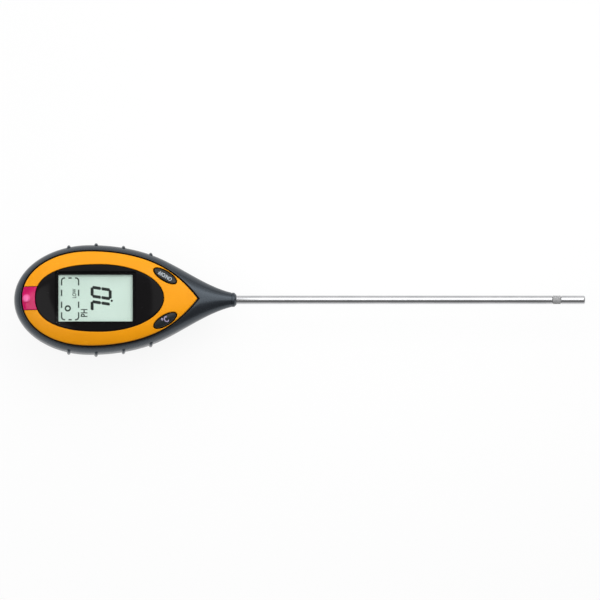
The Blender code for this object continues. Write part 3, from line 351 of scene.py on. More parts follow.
def back_depth(station):
    deepest = PARTING_Z + BACK_BULGE
    begin = DOOR_END + SEAT_GAP - BACK_TAPER_LEAD
    if station <= begin:
        return deepest
    return taper(station, begin, deepest, 0.0)


def crown_power(station):
    """How square the cross-section is: a full crown over the head, a circle at the nose."""
    t = (station - POWER_BLEND_START) / (NOSE_REACH - POWER_BLEND_START)
    t = min(max(t, 0.0), 1.0)
    return CROWN_POWER + (NOSE_POWER - CROWN_POWER) * t * t * (3 - 2 * t)


def crown(station, y, height, inset=0.0):
    """Height of a crowned surface over the parting plane, falling to nothing at the outline."""
    if station < 0:
        radius = math.hypot(station / (TOP_REACH - inset), y / (HALF_WIDTH - inset))
    else:
        radius = abs(y) / half_width(station, inset)
    power = crown_power(station)
    return height * max(0.0, 1 - radius**power) ** (1 / power)


def front_z(station, y):
    return PARTING_Z + crown(station, y, front_height(station))


def plate_underside(station, y):
    return front_z(station, y) - PLATE_THICKNESS


def deck_z(station, y):
    """Top of the deck, on which the face plate and the lens lie."""
    return plate_underside(station, y) - SEAT_GAP


def ceiling_z(station, y):
    """Underside of the deck."""
    return PARTING_Z + crown(station, y, front_height(station) - DECK_DROP, WALL)


def back_z(station, y, inset=0.0):
    return PARTING_Z - crown(station, y, back_depth(station) - inset, inset)


def rest_z(station, y):
    """The back with its flat, which runs into the curved skin over a narrow fillet."""
    depth = back_z(station, y)
    if depth >= FLAT_FILLET:
        return depth
    if depth <= -FLAT_FILLET:
        return 0.0
    return (depth + FLAT_FILLET) ** 2 / (4 * FLAT_FILLET)


def floor_z(station, y):
    return max(WALL, back_z(station, y, WALL))


# Outlines, each as its start, its end and its half-width at a station

def head_outline(inset=0.0, end=NOSE_REACH):
    return inset - TOP_REACH, end, lambda station: half_width(station, inset)


def box_outline(start, end, half):
    return start, end, lambda station: half


def plate_outline(grow=0.0):
    """The face plate, with its edge moved out by grow."""
    reach = TOP_REACH - TOP_RIM
    half = HALF_WIDTH - SIDE_RIM
    shoulder = SHOULDER_REACH - SHOULDER_RIM
    joint = quarter(TAPER_START, shoulder, half)
    joint_slope = quarter_slope(TAPER_START, shoulder, half)
    length = PLATE_TIP - TAPER_START
    behind = 1 + grow / reach
    ahead = 1 + TIP_SPREAD * grow / PLATE_TIP
    wide = 1 + grow / half

    def width(station):
        if station < 0:
            return wide * quarter(station / behind, reach, half, PLATE_TOP_POWER)
        place = station / ahead
        if place <= TAPER_START:
            return wide * quarter(place, shoulder, half)
        t = (place - TAPER_START) / length
        return wide * hermite(t, length, joint, joint_slope, 0.0, PLATE_TIP_SLOPE)

    return -reach * behind, PLATE_TIP * ahead, width


def lens_half_width():
    return HALF_WIDTH - SIDE_RIM - LENS_SIDE_BAND


def lens_top_reach():
    return LENS_CENTRE + TOP_REACH - TOP_RIM - LENS_TOP_BAND


def lens_outline(grow=0.0):
    """The display lens, with its edge moved out by grow."""
    half = lens_half_width() + grow
    behind = lens_top_reach() + grow
    ahead = LENS_END - LENS_CENTRE + grow

    def width(station):
        if station < LENS_CENTRE:
            return quarter(station - LENS_CENTRE, behind, half, LENS_TOP_POWER)
        return quarter(station - LENS_CENTRE, ahead, half)

    return LENS_CENTRE - behind, LENS_CENTRE + ahead, width


def key_side():
    """Distance of the keys from the middle line, a band away from the edge of the face plate."""
    width = plate_outline()[2]
    return width(KEY_STATION) - KEY_BAND


def key_tilt():
    """Tilt of the keys, which lie along the edge of the face plate beside them."""
    width = plate_outline()[2]
    reach = KEY_OPENING_LONG
    return math.atan((width(KEY_STATION - reach) - width(KEY_STATION + reach)) / (2 * reach))


# Places that follow from the frame and from the sizes above
DOOR_START = DOOR_BOX[0].x + ORIGIN_STATION
DOOR_HALF = DOOR_BOX[1].y
DOOR_BOTTOM = DOOR_BOX[0].z
DOOR_END = DOOR_BOX[1].x + ORIGIN_STATION - TAB_REACH
COMPARTMENT_FLOOR = DOOR_BOTTOM + DOOR_THICKNESS + SEAT_GAP
COMPARTMENT_START = DOOR_START + DOOR_LEDGE
COMPARTMENT_END = DOOR_END - DOOR_LEDGE
COMPARTMENT_HALF = DOOR_HALF - DOOR_LEDGE
KEY_SIDE = key_side()
KEY_TILT = key_tilt()
BOARD_TOP = BOARD_BOX[1].z
BOARD_BOTTOM = BOARD_BOX[0].z
SCREW_SEAT = SCREW_BOX[0].z + SCREW_HEAD_HEIGHT + SEAT_GAP
MARK_LOW = GLASS_BOX[1].z - MARK_SINK
MARK_HIGH = GLASS_BOX[1].z + MARK_PROUD


# Meshes

def piece(name, points, faces):
    mesh = bpy.data.meshes.new(name)
    mesh.from_pydata(points, [], faces)
    shape = bmesh.new()
    shape.from_mesh(mesh)
    bmesh.ops.recalc_face_normals(shape, faces=shape.faces[:])
    shape.to_mesh(mesh)
    shape.free()
    obj = bpy.data.objects.new(name, mesh)
    bpy.context.scene.collection.objects.link(obj)
    return obj


def skin(name, bodies, looped=False):
    """Join the rings of each body, which are equally long, into a closed surface."""
    points = []
    faces = []
    for rings in bodies:
        first = len(points)
        count = len(rings[0])
        points += [point for ring in rings for point in ring]
        rows = [range(first + k * count, first + (k + 1) * count) for k in range(len(rings))]
        pairs = list(zip(rows, rows[1:]))
        if looped:
            pairs.append((rows[-1], rows[0]))
        else:
            faces.append(tuple(reversed(rows[0])))
            faces.append(tuple(rows[-1]))
        for low, high in pairs:
            faces += [(low[j - 1], low[j], high[j], high[j - 1]) for j in range(count)]
    return piece(name, points, faces)


def shade(obj, angle=32.0):
    obj.data.shade_smooth()
    obj.data.set_sharp_from_angle(angle=math.radians(angle))


def smooth_skin(name, bodies, looped=False):
    made = skin(name, bodies, looped)
    shade(made)
    return made


def carve(target, operation, *tools):
    """Cut tools from a piece, or join them to it, and keep the result as its mesh."""
    for tool in tools:
        modifier = target.modifiers.new(tool.name, "BOOLEAN")
        modifier.operation = operation
        modifier.solver = "MANIFOLD"
        modifier.object = tool
    graph = bpy.context.evaluated_depsgraph_get()
    made = bpy.data.meshes.new_from_object(target.evaluated_get(graph))
    target.modifiers.clear()
    old = target.data
    target.data = made
    bpy.data.meshes.remove(old)
    made.name = target.name
    for tool in tools:
        bpy.data.objects.remove(tool)


def ray_point(turn, centre, outline):
    """Where a ray from the middle line meets an outline. A turn of 0 points to the nose."""
    start, end, width = outline
    if math.atan2(width(end), end - centre) >= turn:
        return end, (end - centre) * math.tan(turn)
    if math.atan2(width(start), start - centre) <= turn:
        return start, (start - centre) * math.tan(turn)
    low, high = start, end
    for _ in range(TURN_SOLVE_STEPS):
        middle = (low + high) / 2
        if math.atan2(width(middle), middle - centre) > turn:
            low = middle
        else:
            high = middle
    return low, width(low)


def ray_loop(turns, centre, outline):
    """A closed loop of points on an outline, one for each ray and each mirrored ray."""
    half = [ray_point(turn, centre, outline) for turn in turns]
    return half + [(station, -y) for station, y in reversed(half[1:-1])]


def head_turns(centre, *boxes):
    """Turns of rays that are close together round the head and go through the corners of boxes."""
    nose = math.atan2(NOSE_RADIUS, NOSE_REACH - centre)
    turns = [nose * k / NOSE_RAYS for k in range(NOSE_RAYS + 1)]
    stations = [NOSE_REACH * (1 - k / SIDE_RAYS) for k in range(1, SIDE_RAYS)]
    stations += [-TOP_REACH * math.sin(math.pi / 2 * k / TOP_RAYS) for k in range(TOP_RAYS)]
    turns += [math.atan2(half_width(s), s - centre) for s in stations]
    for start, end, width in boxes:
        turns += [math.atan2(width(s), s - centre) for s in (start, end)]
    return sorted(turns) + [math.pi]


def ring(loop, height):
    """A loop lifted to a height, which is a number or a surface."""
    if callable(height):
        return [(x_at(s), y, height(s, y)) for s, y in loop]
    return [(x_at(s), y, height) for s, y in loop]


def between(inner, outer, share):
    return [(a + (c - a) * share, b + (d - b) * share) for (a, b), (c, d) in zip(inner, outer)]


def moved(loop, towards, distance):
    """A loop moved by a distance towards another."""
    found = []
    for (a, b), (c, d) in zip(loop, towards):
        share = distance / math.hypot(c - a, d - b)
        found.append((a + (c - a) * share, b + (d - b) * share))
    return found


def rounded_rings(loop, towards, radius, surface, lift, steps=EDGE_STEPS):
    """Rings of a rounded edge from the wall at a loop up to a surface; lift is 1 for an upper edge."""
    rings = []
    for k in range(steps + 1):
        turn = math.pi / 2 * k / steps
        place = moved(loop, towards, radius * (1 - math.cos(turn)) + HAIR)
        drop = lift * radius * (1 - math.sin(turn))
        rings.append([(x_at(s), y, surface(s, y) - drop) for s, y in place])
    return rings


def circle(radius, sides=ROUND_SIDES):
    turns = [2 * math.pi * k / sides for k in range(sides)]
    return [(radius * math.cos(turn), radius * math.sin(turn)) for turn in turns]


def disc(station, side, radius):
    return [(station + a, side + b) for a, b in circle(radius, SMALL_SIDES)]


def rectangle(station, side, long_half, short_half):
    signs = ((-1, -1), (1, -1), (1, 1), (-1, 1))
    return [(station + a * long_half, side + b * short_half) for a, b in signs]


def ellipse(long_half, short_half, tilt, station, side):
    """Points of a tilted ellipse as stations and sides."""
    turn = Matrix.Rotation(tilt, 2)
    points = [turn @ Vector((long_half * c, short_half * s)) for c, s in circle(1.0)]
    return [(station + p.x, side + p.y) for p in points]


def key_ellipse(side, grow):
    long_half = KEY_OPENING_LONG + grow
    short_half = KEY_OPENING_SHORT + grow
    return ellipse(long_half, short_half, -side * KEY_TILT, KEY_STATION, side * KEY_SIDE)


def turned_up(station, side, profile, sides=ROUND_SIDES):
    """Rings of a piece turned about an upright axis, from pairs of radius and height."""
    return [[(x_at(station) + a, side + b, z) for a, b in circle(r, sides)] for r, z in profile]


def turned_along(profile):
    """Rings of a piece turned about the probe's axis, from pairs of station and radius."""
    return [[(x_at(s), a, PARTING_Z + b) for a, b in circle(r)] for s, r in profile]


def box(start, end, low, high, bottom, top):
    corners = [(start, low), (end, low), (end, high), (start, high)]
    return [ring(corners, z) for z in (bottom, top)]


def rounded_box(start, end, half, radius):
    """Outline of a box with rounded corners, as stations and sides."""
    corners = [(end, half, 0), (start, half, 1), (start, -half, 2), (end, -half, 3)]
    outline = []
    for station, side, quarter_turns in corners:
        middle = station - math.copysign(radius, station - (start + end) / 2)
        centre = side - math.copysign(radius, side)
        for k in range(BROAD_EDGE_STEPS + 1):
            turn = math.pi / 2 * (quarter_turns + k / BROAD_EDGE_STEPS)
            outline.append((middle + radius * math.cos(turn), centre + radius * math.sin(turn)))
    return outline


def soften(profile, radius, closed=False):
    """A profile with its corners rounded by short curves."""
    points = [Vector(point) for point in profile]
    count = len(points)
    found = []
    for k, corner in enumerate(points):
        if not closed and k in (0, count - 1):
            found.append(tuple(corner))
            continue
        before = points[k - 1] - corner
        after = points[(k + 1) % count] - corner
        start = corner + before * min(CORNER_SHARE, radius / before.length)
        end = corner + after * min(CORNER_SHARE, radius / after.length)
        for j in range(EDGE_STEPS + 1):
            t = j / EDGE_STEPS
            found.append(tuple(start.lerp(corner, t).lerp(corner.lerp(end, t), t)))
    return found


def window_drop(distance, radius=HOLE_FILLET):
    """How far a rounded edge falls back, a distance inside the edge."""
    if distance >= radius:
        return 0.0
    return radius - math.sqrt(max(0.0, radius**2 - (radius - distance) ** 2))


# Shells of the head

def rib_ring(foot, out, proud):
    """Section of a rib: two points sunk into the skin and a rounded back that stands proud of it."""
    half = Vector((RIB_WIDTH / 2, 0.0, 0.0))
    points = [foot - out * RIB_ROOT + half]
    for k in range(RIB_BENDS + 1):
        bend = math.pi * k / RIB_BENDS
        rise = (proud + RIB_SINK) * math.sin(bend) - RIB_SINK
        points.append(foot + half * math.cos(bend) + out * rise)
    return points + [foot - out * RIB_ROOT - half]


def rib_body(station, side, surface, base, sweep):
    """A rounded band down one side of a shell, from the seam to where it fades into the skin."""
    lift = math.copysign(1.0, surface(station, 0.0) - PARTING_Z)
    power = crown_power(station)
    height = abs(surface(station, 0.0) - PARTING_Z)
    width = half_width(station)
    rings = []
    for k in range(RIB_STEPS + 1):
        turn = sweep * k / RIB_STEPS
        across = math.cos(turn) ** (2 / power)
        up = math.sin(turn) ** (2 / power)
        out = Vector((0.0, side * across ** (power - 1) / width, lift * up ** (power - 1) / height))
        foot = Vector((x_at(station), side * across * width, PARTING_Z + lift * up * height))
        proud = RIB_HEIGHT * math.cos(math.pi / 2 * k / RIB_STEPS) ** 0.5
        if k == 0:
            foot.z = base + lift * SEAM_EDGE / 3
        if k == RIB_STEPS:
            proud = -RIB_ROOT / 2
        rings.append(rib_ring(foot, out.normalized(), proud))
    return rings


def ribs(name, surface, base, sweep):
    stations = [RIB_FIRST + k * RIB_PITCH for k in range(RIB_COUNT)]
    return skin(name, [rib_body(s, side, surface, base, sweep) for s in stations for side in (-1, 1)])


def hub_room():
    """The space that the hub and the probe tube take up between the shells."""
    flange_start = ends("probe_hub")[0]
    profile = [
        (CAVITY_END - CUT_MARGIN, PROBE_RADIUS + SEAT_GAP),
        (flange_start - SEAT_GAP, PROBE_RADIUS + SEAT_GAP),
        (flange_start - SEAT_GAP, HUB_FLANGE_RADIUS + SEAT_GAP),
        (flange_start + HUB_FLANGE_LENGTH + SEAT_GAP, HUB_FLANGE_RADIUS + SEAT_GAP),
        (flange_start + HUB_FLANGE_LENGTH + SEAT_GAP, HUB_SPIGOT_RADIUS + SEAT_GAP),
        (NOSE_REACH + CUT_MARGIN, HUB_SPIGOT_RADIUS + SEAT_GAP),
    ]
    return skin("hub_room", [turned_along(profile)])


def skin_rings(inner, outer, surface, limit):
    """Rings of a crowned skin, crowded where it turns steep; limit keeps the last one off the seam."""
    rings = []
    for k in range(1, SKIN_ROWS + 1):
        share = 1 - (1 - k / SKIN_ROWS) ** CROWN_POWER
        rings.append(ring(between(inner, outer, share), lambda s, y: limit(surface(s, y))))
    return rings


def screw_places():
    boxes = [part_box(f"case_screw_{number}") for number in range(1, SCREW_COUNT + 1)]
    return [((low.x + high.x) / 2 + ORIGIN_STATION, (low.y + high.y) / 2) for low, high in boxes]


def front_bosses():
    """Bosses that hang from the deck and press the board on the posts of the rear shell."""
    bodies = []
    for station, side in screw_places():
        outline = disc(station, side, BOSS_RADIUS)
        head = ring(outline, lambda s, y: (ceiling_z(s, y) + deck_z(s, y)) / 2)
        bodies.append([ring(outline, BOARD_TOP + SEAT_GAP), head])
    return skin("front_bosses", bodies)


def front_bores():
    """Bores for the screws, and the hole in the deck over the light sensor."""
    profile = [(SCREW_BORE, BOARD_TOP - CUT_MARGIN), (SCREW_BORE, BOARD_TOP + SCREW_GRIP + SEAT_GAP)]
    bodies = [turned_up(s, y, profile, SMALL_SIDES) for s, y in screw_places()]
    radius = SENSOR_RADIUS + SEAT_GAP
    hole = [(radius, BOARD_TOP + CUT_MARGIN), (radius, PARTING_Z + FRONT_HEIGHT)]
    bodies.append(turned_up(DOME_STATION, 0.0, hole, SMALL_SIDES))
    return skin("front_bores", bodies)


def in_recess(face):
    """Whether a face of the front shell lies in the recess of the face plate or below it."""
    station = face.center.x + ORIGIN_STATION
    start, end, width = plate_outline(GROOVE_WIDTH)
    if not start <= station <= end or abs(face.center.y) > width(station) + RIM_FILLET / 10:
        return False
    return face.center.z < front_z(station, face.center.y) - RIM_FILLET


def front_shell():
    start, end = ends("display_glass")
    opening_box = box_outline(start - SEAT_GAP, end + SEAT_GAP, GLASS_BOX[1].y + SEAT_GAP)
    turns = head_turns(RAY_CENTRE, opening_box)
    edge = ray_loop(turns, RAY_CENTRE, head_outline())
    recess = ray_loop(turns, RAY_CENTRE, plate_outline(GROOVE_WIDTH))
    wall = ray_loop(turns, RAY_CENTRE, head_outline(WALL, CAVITY_END))
    opening = ray_loop(turns, RAY_CENTRE, opening_box)
    base = PARTING_Z + SEAM_GAP / 2
    rings = [ring(between(opening, recess, k / DECK_ROWS), deck_z) for k in range(DECK_ROWS + 1)]
    rings += rounded_rings(recess, edge, RIM_FILLET, front_z, 1)
    inner = moved(recess, edge, RIM_FILLET)
    rings += skin_rings(inner, edge, front_z, lambda z: max(z, base + SEAM_EDGE))
    rings.append(ring(moved(edge, recess, SEAM_EDGE / 3), base + SEAM_EDGE / 3))
    rings.append(ring(moved(edge, recess, SEAM_EDGE), base))
    rings.append(ring(wall, base))
    for k in range(1, CEILING_ROWS + 1):
        rings.append(ring(between(wall, opening, (k / CEILING_ROWS) ** CROWN_POWER), ceiling_z))
    shell = skin("front_shell_fine", [rings], looped=True)
    cutters = []
    for side in (-1, 1):
        outline = key_ellipse(side, KEY_GAP - KEY_RING)
        rings = [ring(outline, BOARD_TOP + CUT_MARGIN), ring(outline, PARTING_Z + FRONT_HEIGHT)]
        cutters.append(skin("key_opening", [rings]))
    carve(shell, "UNION", front_bosses(), ribs("front_ribs", front_z, base, FRONT_RIB_SWEEP))
    carve(shell, "DIFFERENCE", *cutters, front_bores(), hub_room())
    shade(shell)
    return shell


def post_ring(station, side, radius, depth):
    """Ring of a screw post that ends inside the wall of the rear shell."""
    return ring(disc(station, side, radius), lambda s, y: max(depth, back_z(s, y) + depth))


def screw_posts():
    bodies = []
    for station, side in screw_places():
        foot = post_ring(station, side, WELL_RADIUS + WELL_WALL, WALL / 2)
        shaft = [
            (WELL_RADIUS + WELL_WALL, SCREW_SEAT + WALL),
            (POST_RADIUS, SCREW_SEAT + WALL),
            (POST_RADIUS, BOARD_BOTTOM - SEAT_GAP),
        ]
        bodies.append([foot] + turned_up(station, side, shaft, SMALL_SIDES))
    return skin("screw_posts", bodies)


def screw_wells():
    profile = [
        (WELL_RADIUS, -CUT_MARGIN),
        (WELL_RADIUS, SCREW_SEAT),
        (SCREW_HOLE, SCREW_SEAT),
        (SCREW_HOLE, BOARD_TOP),
    ]
    return skin("screw_wells", [turned_up(s, y, profile, SMALL_SIDES) for s, y in screw_places()])


def door_slots():
    """Slots for the door's hinge tabs in the end wall and for the battery's leads in the roof."""
    bottom = WALL - TAB_SLOT_RELIEF
    top = WALL + SEAT_GAP + TAB_THICKNESS + TAB_REACH
    half = TAB_WIDTH / 2 + SEAT_GAP
    start = COMPARTMENT_END - CUT_MARGIN
    end = DOOR_END + SEAT_GAP + TAB_REACH
    bodies = [box(start, end, m - half, m + half, bottom, top) for m in (-TAB_SIDE, TAB_SIDE)]
    half = LEAD_SPACING / 2 + LEAD_SPACE
    low = COMPARTMENT_TOP - CUT_MARGIN
    high = COMPARTMENT_TOP + COMPARTMENT_ROOF + CUT_MARGIN
    bodies.append(box(COMPARTMENT_END - LEAD_SPACE, COMPARTMENT_END, -half, half, low, high))
    return skin("door_slots", bodies)


def rear_shell():
    seat_box = box_outline(DOOR_START - SEAT_GAP, DOOR_END + SEAT_GAP, DOOR_HALF + SEAT_GAP)
    room_box = box_outline(COMPARTMENT_START, COMPARTMENT_END, COMPARTMENT_HALF)
    outer_box = box_outline(
        COMPARTMENT_START - COMPARTMENT_WALL,
        COMPARTMENT_END + COMPARTMENT_WALL,
        COMPARTMENT_HALF + COMPARTMENT_WALL,
    )
    turns = head_turns(RAY_CENTRE, seat_box, room_box, outer_box)
    edge = ray_loop(turns, RAY_CENTRE, head_outline())
    seat = ray_loop(turns, RAY_CENTRE, seat_box)
    room = ray_loop(turns, RAY_CENTRE, room_box)
    block = ray_loop(turns, RAY_CENTRE, outer_box)
    wall = ray_loop(turns, RAY_CENTRE, head_outline(WALL, CAVITY_END))
    base = PARTING_Z - SEAM_GAP / 2
    rings = [ring(room, COMPARTMENT_TOP), ring(room, COMPARTMENT_FLOOR), ring(seat, COMPARTMENT_FLOOR)]
    rings += rounded_rings(seat, edge, HOLE_FILLET, rest_z, -1)
    inner = moved(seat, edge, HOLE_FILLET)
    rings += skin_rings(inner, edge, rest_z, lambda z: min(z, base - SEAM_EDGE))
    rings.append(ring(moved(edge, seat, SEAM_EDGE / 3), base - SEAM_EDGE / 3))
    rings.append(ring(moved(edge, seat, SEAM_EDGE), base))
    rings.append(ring(wall, base))
    for k in range(1, CEILING_ROWS + 1):
        rings.append(ring(between(wall, block, (k / CEILING_ROWS) ** CROWN_POWER), floor_z))
    rings.append(ring(block, COMPARTMENT_TOP + COMPARTMENT_ROOF))
    shell = skin("rear_shell_fine", [rings])
    carve(shell, "UNION", screw_posts(), ribs("rear_ribs", back_z, base, BACK_RIB_SWEEP))
    carve(shell, "DIFFERENCE", screw_wells(), door_slots(), hub_room())
    shade(shell)
    return shell


# Pieces laid into the front

def flared_hole(name, outline_at, flare):
    """A cutter that follows the front and opens out at the top, which leaves a chamfered hole."""
    wide = outline_at(flare)
    plain = outline_at(0.0)
    rings = [
        ring(plain, PARTING_Z),
        ring(plain, lambda s, y: front_z(s, y) - flare),
        ring(wide, lambda s, y: front_z(s, y)),
        ring(wide, lambda s, y: front_z(s, y) + CUT_MARGIN),
    ]
    return skin(name, [rings])


def notch_outline(grow):
    """The notch for the light window, from outside the plate into the lens hole."""
    half = WINDOW_HALF_WIDTH + SEAT_GAP + grow
    steps = 24
    stations = [-TOP_REACH + (LENS_CENTRE + TOP_REACH) * k / steps for k in range(steps + 1)]
    return [(s, -half) for s in stations] + [(s, half) for s in reversed(stations)]


def face_plate():
    turns = head_turns(LENS_CENTRE)
    hole = ray_loop(turns, LENS_CENTRE, lens_outline(SEAT_GAP))
    edge = ray_loop(turns, LENS_CENTRE, plate_outline())
    rings = rounded_rings(hole, edge, HOLE_FILLET, front_z, 1)
    inner = moved(hole, edge, HOLE_FILLET)
    outer = moved(edge, hole, PLATE_FILLET)
    rings += [ring(between(inner, outer, k / PLATE_ROWS), front_z) for k in range(1, PLATE_ROWS)]
    rings += reversed(rounded_rings(edge, hole, PLATE_FILLET, front_z, 1, BROAD_EDGE_STEPS))
    shares = [k / UNDERSIDE_ROWS for k in range(UNDERSIDE_ROWS + 1)]
    rings += [ring(between(edge, hole, share), plate_underside) for share in shares]
    plate = skin("face_plate_fine", [rings], looped=True)
    cutters = [flared_hole("notch", notch_outline, NOTCH_CHAMFER)]
    for side in (-1, 1):
        cutters.append(flared_hole("key_hole", lambda grow: key_ellipse(side, grow), HOLE_FILLET))
    carve(plate, "DIFFERENCE", *cutters)
    shade(plate)
    return plate


def view_outline(grow):
    """The clear part of the lens, with slightly rounded corners."""
    start = VIEW_STATION - VIEW_LENGTH / 2 - grow
    end = VIEW_STATION + VIEW_LENGTH / 2 + grow
    half = VIEW_WIDTH / 2 + grow

    def width(station):
        inside = min(station - start, end - station)
        return half - window_drop(inside, VIEW_CORNER)

    return start, end, width


def display_lens(looks):
    """The dark lens: its middle, over the display, is clear, and the rest is printed black."""
    outline = view_outline(0.0)
    corner = box_outline(outline[0] + VIEW_CORNER, outline[1] - VIEW_CORNER, VIEW_WIDTH / 2)
    turns = head_turns(VIEW_STATION, outline, corner)
    view = ray_loop(turns, VIEW_STATION, view_outline(VIEW_RELIEF))
    below = ray_loop(turns, VIEW_STATION, outline)
    edge = ray_loop(turns, VIEW_STATION, lens_outline())
    middle = [(VIEW_STATION, 0.0)] * len(view)
    shares = [0.02, 0.2, 0.4, 0.6, 0.8, 1.0]
    inner = moved(edge, middle, LENS_FILLET)
    rings = [ring(between(middle, view, share), front_z) for share in shares]
    steps = [k / UNDERSIDE_ROWS for k in range(UNDERSIDE_ROWS + 1)]
    rings += [ring(between(view, inner, step), front_z) for step in steps[1:-1]]
    rings += reversed(rounded_rings(edge, middle, LENS_FILLET, front_z, 1, LENS_EDGE_STEPS))
    rings += [ring(between(edge, below, step), plate_underside) for step in steps]
    rings += [ring(between(middle, below, share), plate_underside) for share in reversed(shares[:-1])]
    lens = skin("display_lens_fine", [rings])
    dress(lens, looks["lens_acrylic"], looks["clear"])
    clear_faces = (len(shares) - 1) * len(view)
    caps = 2
    total = len(lens.data.polygons)
    for number, face in enumerate(lens.data.polygons):
        if number < caps + clear_faces or number >= total - clear_faces:
            face.material_index = 1
    shade(lens)
    return lens


def dome_rise(station, y):
    far = math.hypot((station - DOME_STATION) / (DOME_LENGTH / 2), y / (DOME_WIDTH / 2))
    return DOME_HEIGHT * math.sqrt(max(0.0, 1 - far**2))


def light_window():
    """The window that fills the plate's notch, with a low dome over the sensor."""
    plate_reach = TOP_REACH - TOP_RIM
    plate_half = HALF_WIDTH - SIDE_RIM
    steps = 60
    fractions = [(1 - math.cos(math.pi * k / steps)) / 2 for k in range(steps + 1)]
    rings = []
    for across in fractions:
        y = WINDOW_HALF_WIDTH * (2 * across - 1)
        outer = -quarter(y, plate_half, plate_reach, PLATE_TOP_POWER)
        inner = LENS_CENTRE - quarter(y, lens_half_width(), lens_top_reach(), LENS_TOP_POWER) - SEAT_GAP
        stations = [outer + (inner - outer) * share for share in fractions]
        upper = []
        for s in stations:
            inside = min(s - outer, inner - s, WINDOW_HALF_WIDTH - abs(y))
            upper.append((x_at(s), y, front_z(s, y) + dome_rise(s, y) - window_drop(inside)))
        lower = [(x_at(s), y, plate_underside(s, y)) for s in reversed(stations)]
        rings.append(upper + lower)
    return smooth_skin("light_window_fine", [rings])


def key_top(side):
    """The crowned top of a key inside its rounded edge."""
    long_half = KEY_OPENING_LONG - KEY_RING - KEY_EDGE
    short_half = KEY_OPENING_SHORT - KEY_RING - KEY_EDGE
    turn = Matrix.Rotation(side * KEY_TILT, 2)

    def top(station, y):
        place = turn @ Vector((station - KEY_STATION, y - side * KEY_SIDE))
        far = math.hypot(place.x / long_half, place.y / short_half)
        return front_z(station, y) + KEY_PROUD + KEY_CROWN * (1 - far**2)

    return top


def key(name, side):
    """An oval cap that comes up through the plate, with a flange below the deck and a short stem."""
    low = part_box(name.replace("key", "plunger"))[1].z + SEAT_GAP
    stem = ellipse(KEY_STEM_RADIUS, KEY_STEM_RADIUS, -side * KEY_TILT, KEY_STATION, side * KEY_SIDE)
    flange = key_ellipse(side, KEY_FLANGE - KEY_RING)
    cap = key_ellipse(side, -KEY_RING)

    def under(s, y):
        return ceiling_z(s, y) - SEAT_GAP

    def flange_under(s, y):
        return under(s, y) - KEY_FLANGE_THICKNESS

    rings = [ring(stem, low), ring(stem, flange_under), ring(flange, flange_under)]
    rings += [ring(flange, under), ring(cap, under)]
    for k in range(BROAD_EDGE_STEPS + 1):
        turn = math.pi / 2 * k / BROAD_EDGE_STEPS
        edge = key_ellipse(side, -KEY_RING - KEY_EDGE * (1 - math.cos(turn)))
        rise = KEY_PROUD - KEY_EDGE * (1 - math.sin(turn))
        rings.append(ring(edge, lambda s, y: front_z(s, y) + rise))
    brow = key_ellipse(side, -KEY_RING - KEY_EDGE)
    middle = [(KEY_STATION, side * KEY_SIDE)] * len(brow)
    top = key_top(side)
    rings += [ring(between(brow, middle, k / KEY_ROWS), top) for k in range(1, KEY_ROWS)]
    return smooth_skin(f"{name}_fine", [rings])


# Pieces of the back

def battery_door():
    """The door with rounded edges, two hinge tabs, a latch tongue and finger grooves."""
    top = DOOR_BOTTOM + DOOR_THICKNESS
    rings = []
    for k in range(EDGE_STEPS + 1):
        turn = math.pi / 2 * k / EDGE_STEPS
        shrink = DOOR_FILLET * (1 - math.sin(turn))
        outline = rounded_box(DOOR_START + shrink, DOOR_END - shrink, DOOR_HALF - shrink, DOOR_CORNER)
        rings.append(ring(outline, DOOR_BOTTOM + DOOR_FILLET * (1 - math.cos(turn))))
    rings.append(ring(outline, top))
    door = skin("battery_door_fine", [rings])
    middle = DOOR_BOTTOM + DOOR_THICKNESS / 2
    low = WALL + SEAT_GAP
    high = low + TAB_THICKNESS
    end = DOOR_END + TAB_REACH
    elbow = DOOR_END - SEAT_GAP
    root = DOOR_END - TAB_ROOT
    corners = [(root, middle), (elbow, middle), (elbow, low), (end, low), (end, high), (root, high)]
    side_view = soften(corners, TAB_THICKNESS / 3, closed=True)
    tabs = []
    for edge in (-TAB_SIDE - TAB_WIDTH / 2, TAB_SIDE - TAB_WIDTH / 2):
        tabs.append([[(x_at(s), y, z) for s, z in side_view] for y in (edge, edge + TAB_WIDTH)])
    begin = COMPARTMENT_START + TONGUE_GAP
    tongue = rounded_box(begin, begin + TONGUE_THICKNESS, TONGUE_WIDTH / 2, TONGUE_THICKNESS / 3)
    tongue_rings = [ring(tongue, middle), ring(tongue, top + TONGUE_HEIGHT)]
    carve(door, "UNION", skin("door_tabs", tabs), skin("door_tongue", [tongue_rings]))
    grooves = []
    for k in range(GRIP_COUNT):
        begin = DOOR_START + GRIP_INSET + k * GRIP_PITCH
        end = begin + GRIP_WIDTH
        half = GRIP_LENGTH / 2
        inset = GRIP_WIDTH / 4
        mouth = rounded_box(begin, end, half, GRIP_ROUND)
        bottom = rounded_box(begin + inset, end - inset, half - inset, GRIP_BOTTOM_ROUND)
        levels = ((mouth, -CUT_MARGIN), (mouth, DOOR_BOTTOM), (bottom, DOOR_BOTTOM + GRIP_DEPTH))
        grooves.append([ring(outline, z) for outline, z in levels])
    carve(door, "DIFFERENCE", skin("door_grooves", grooves))
    shade(door)
    return door


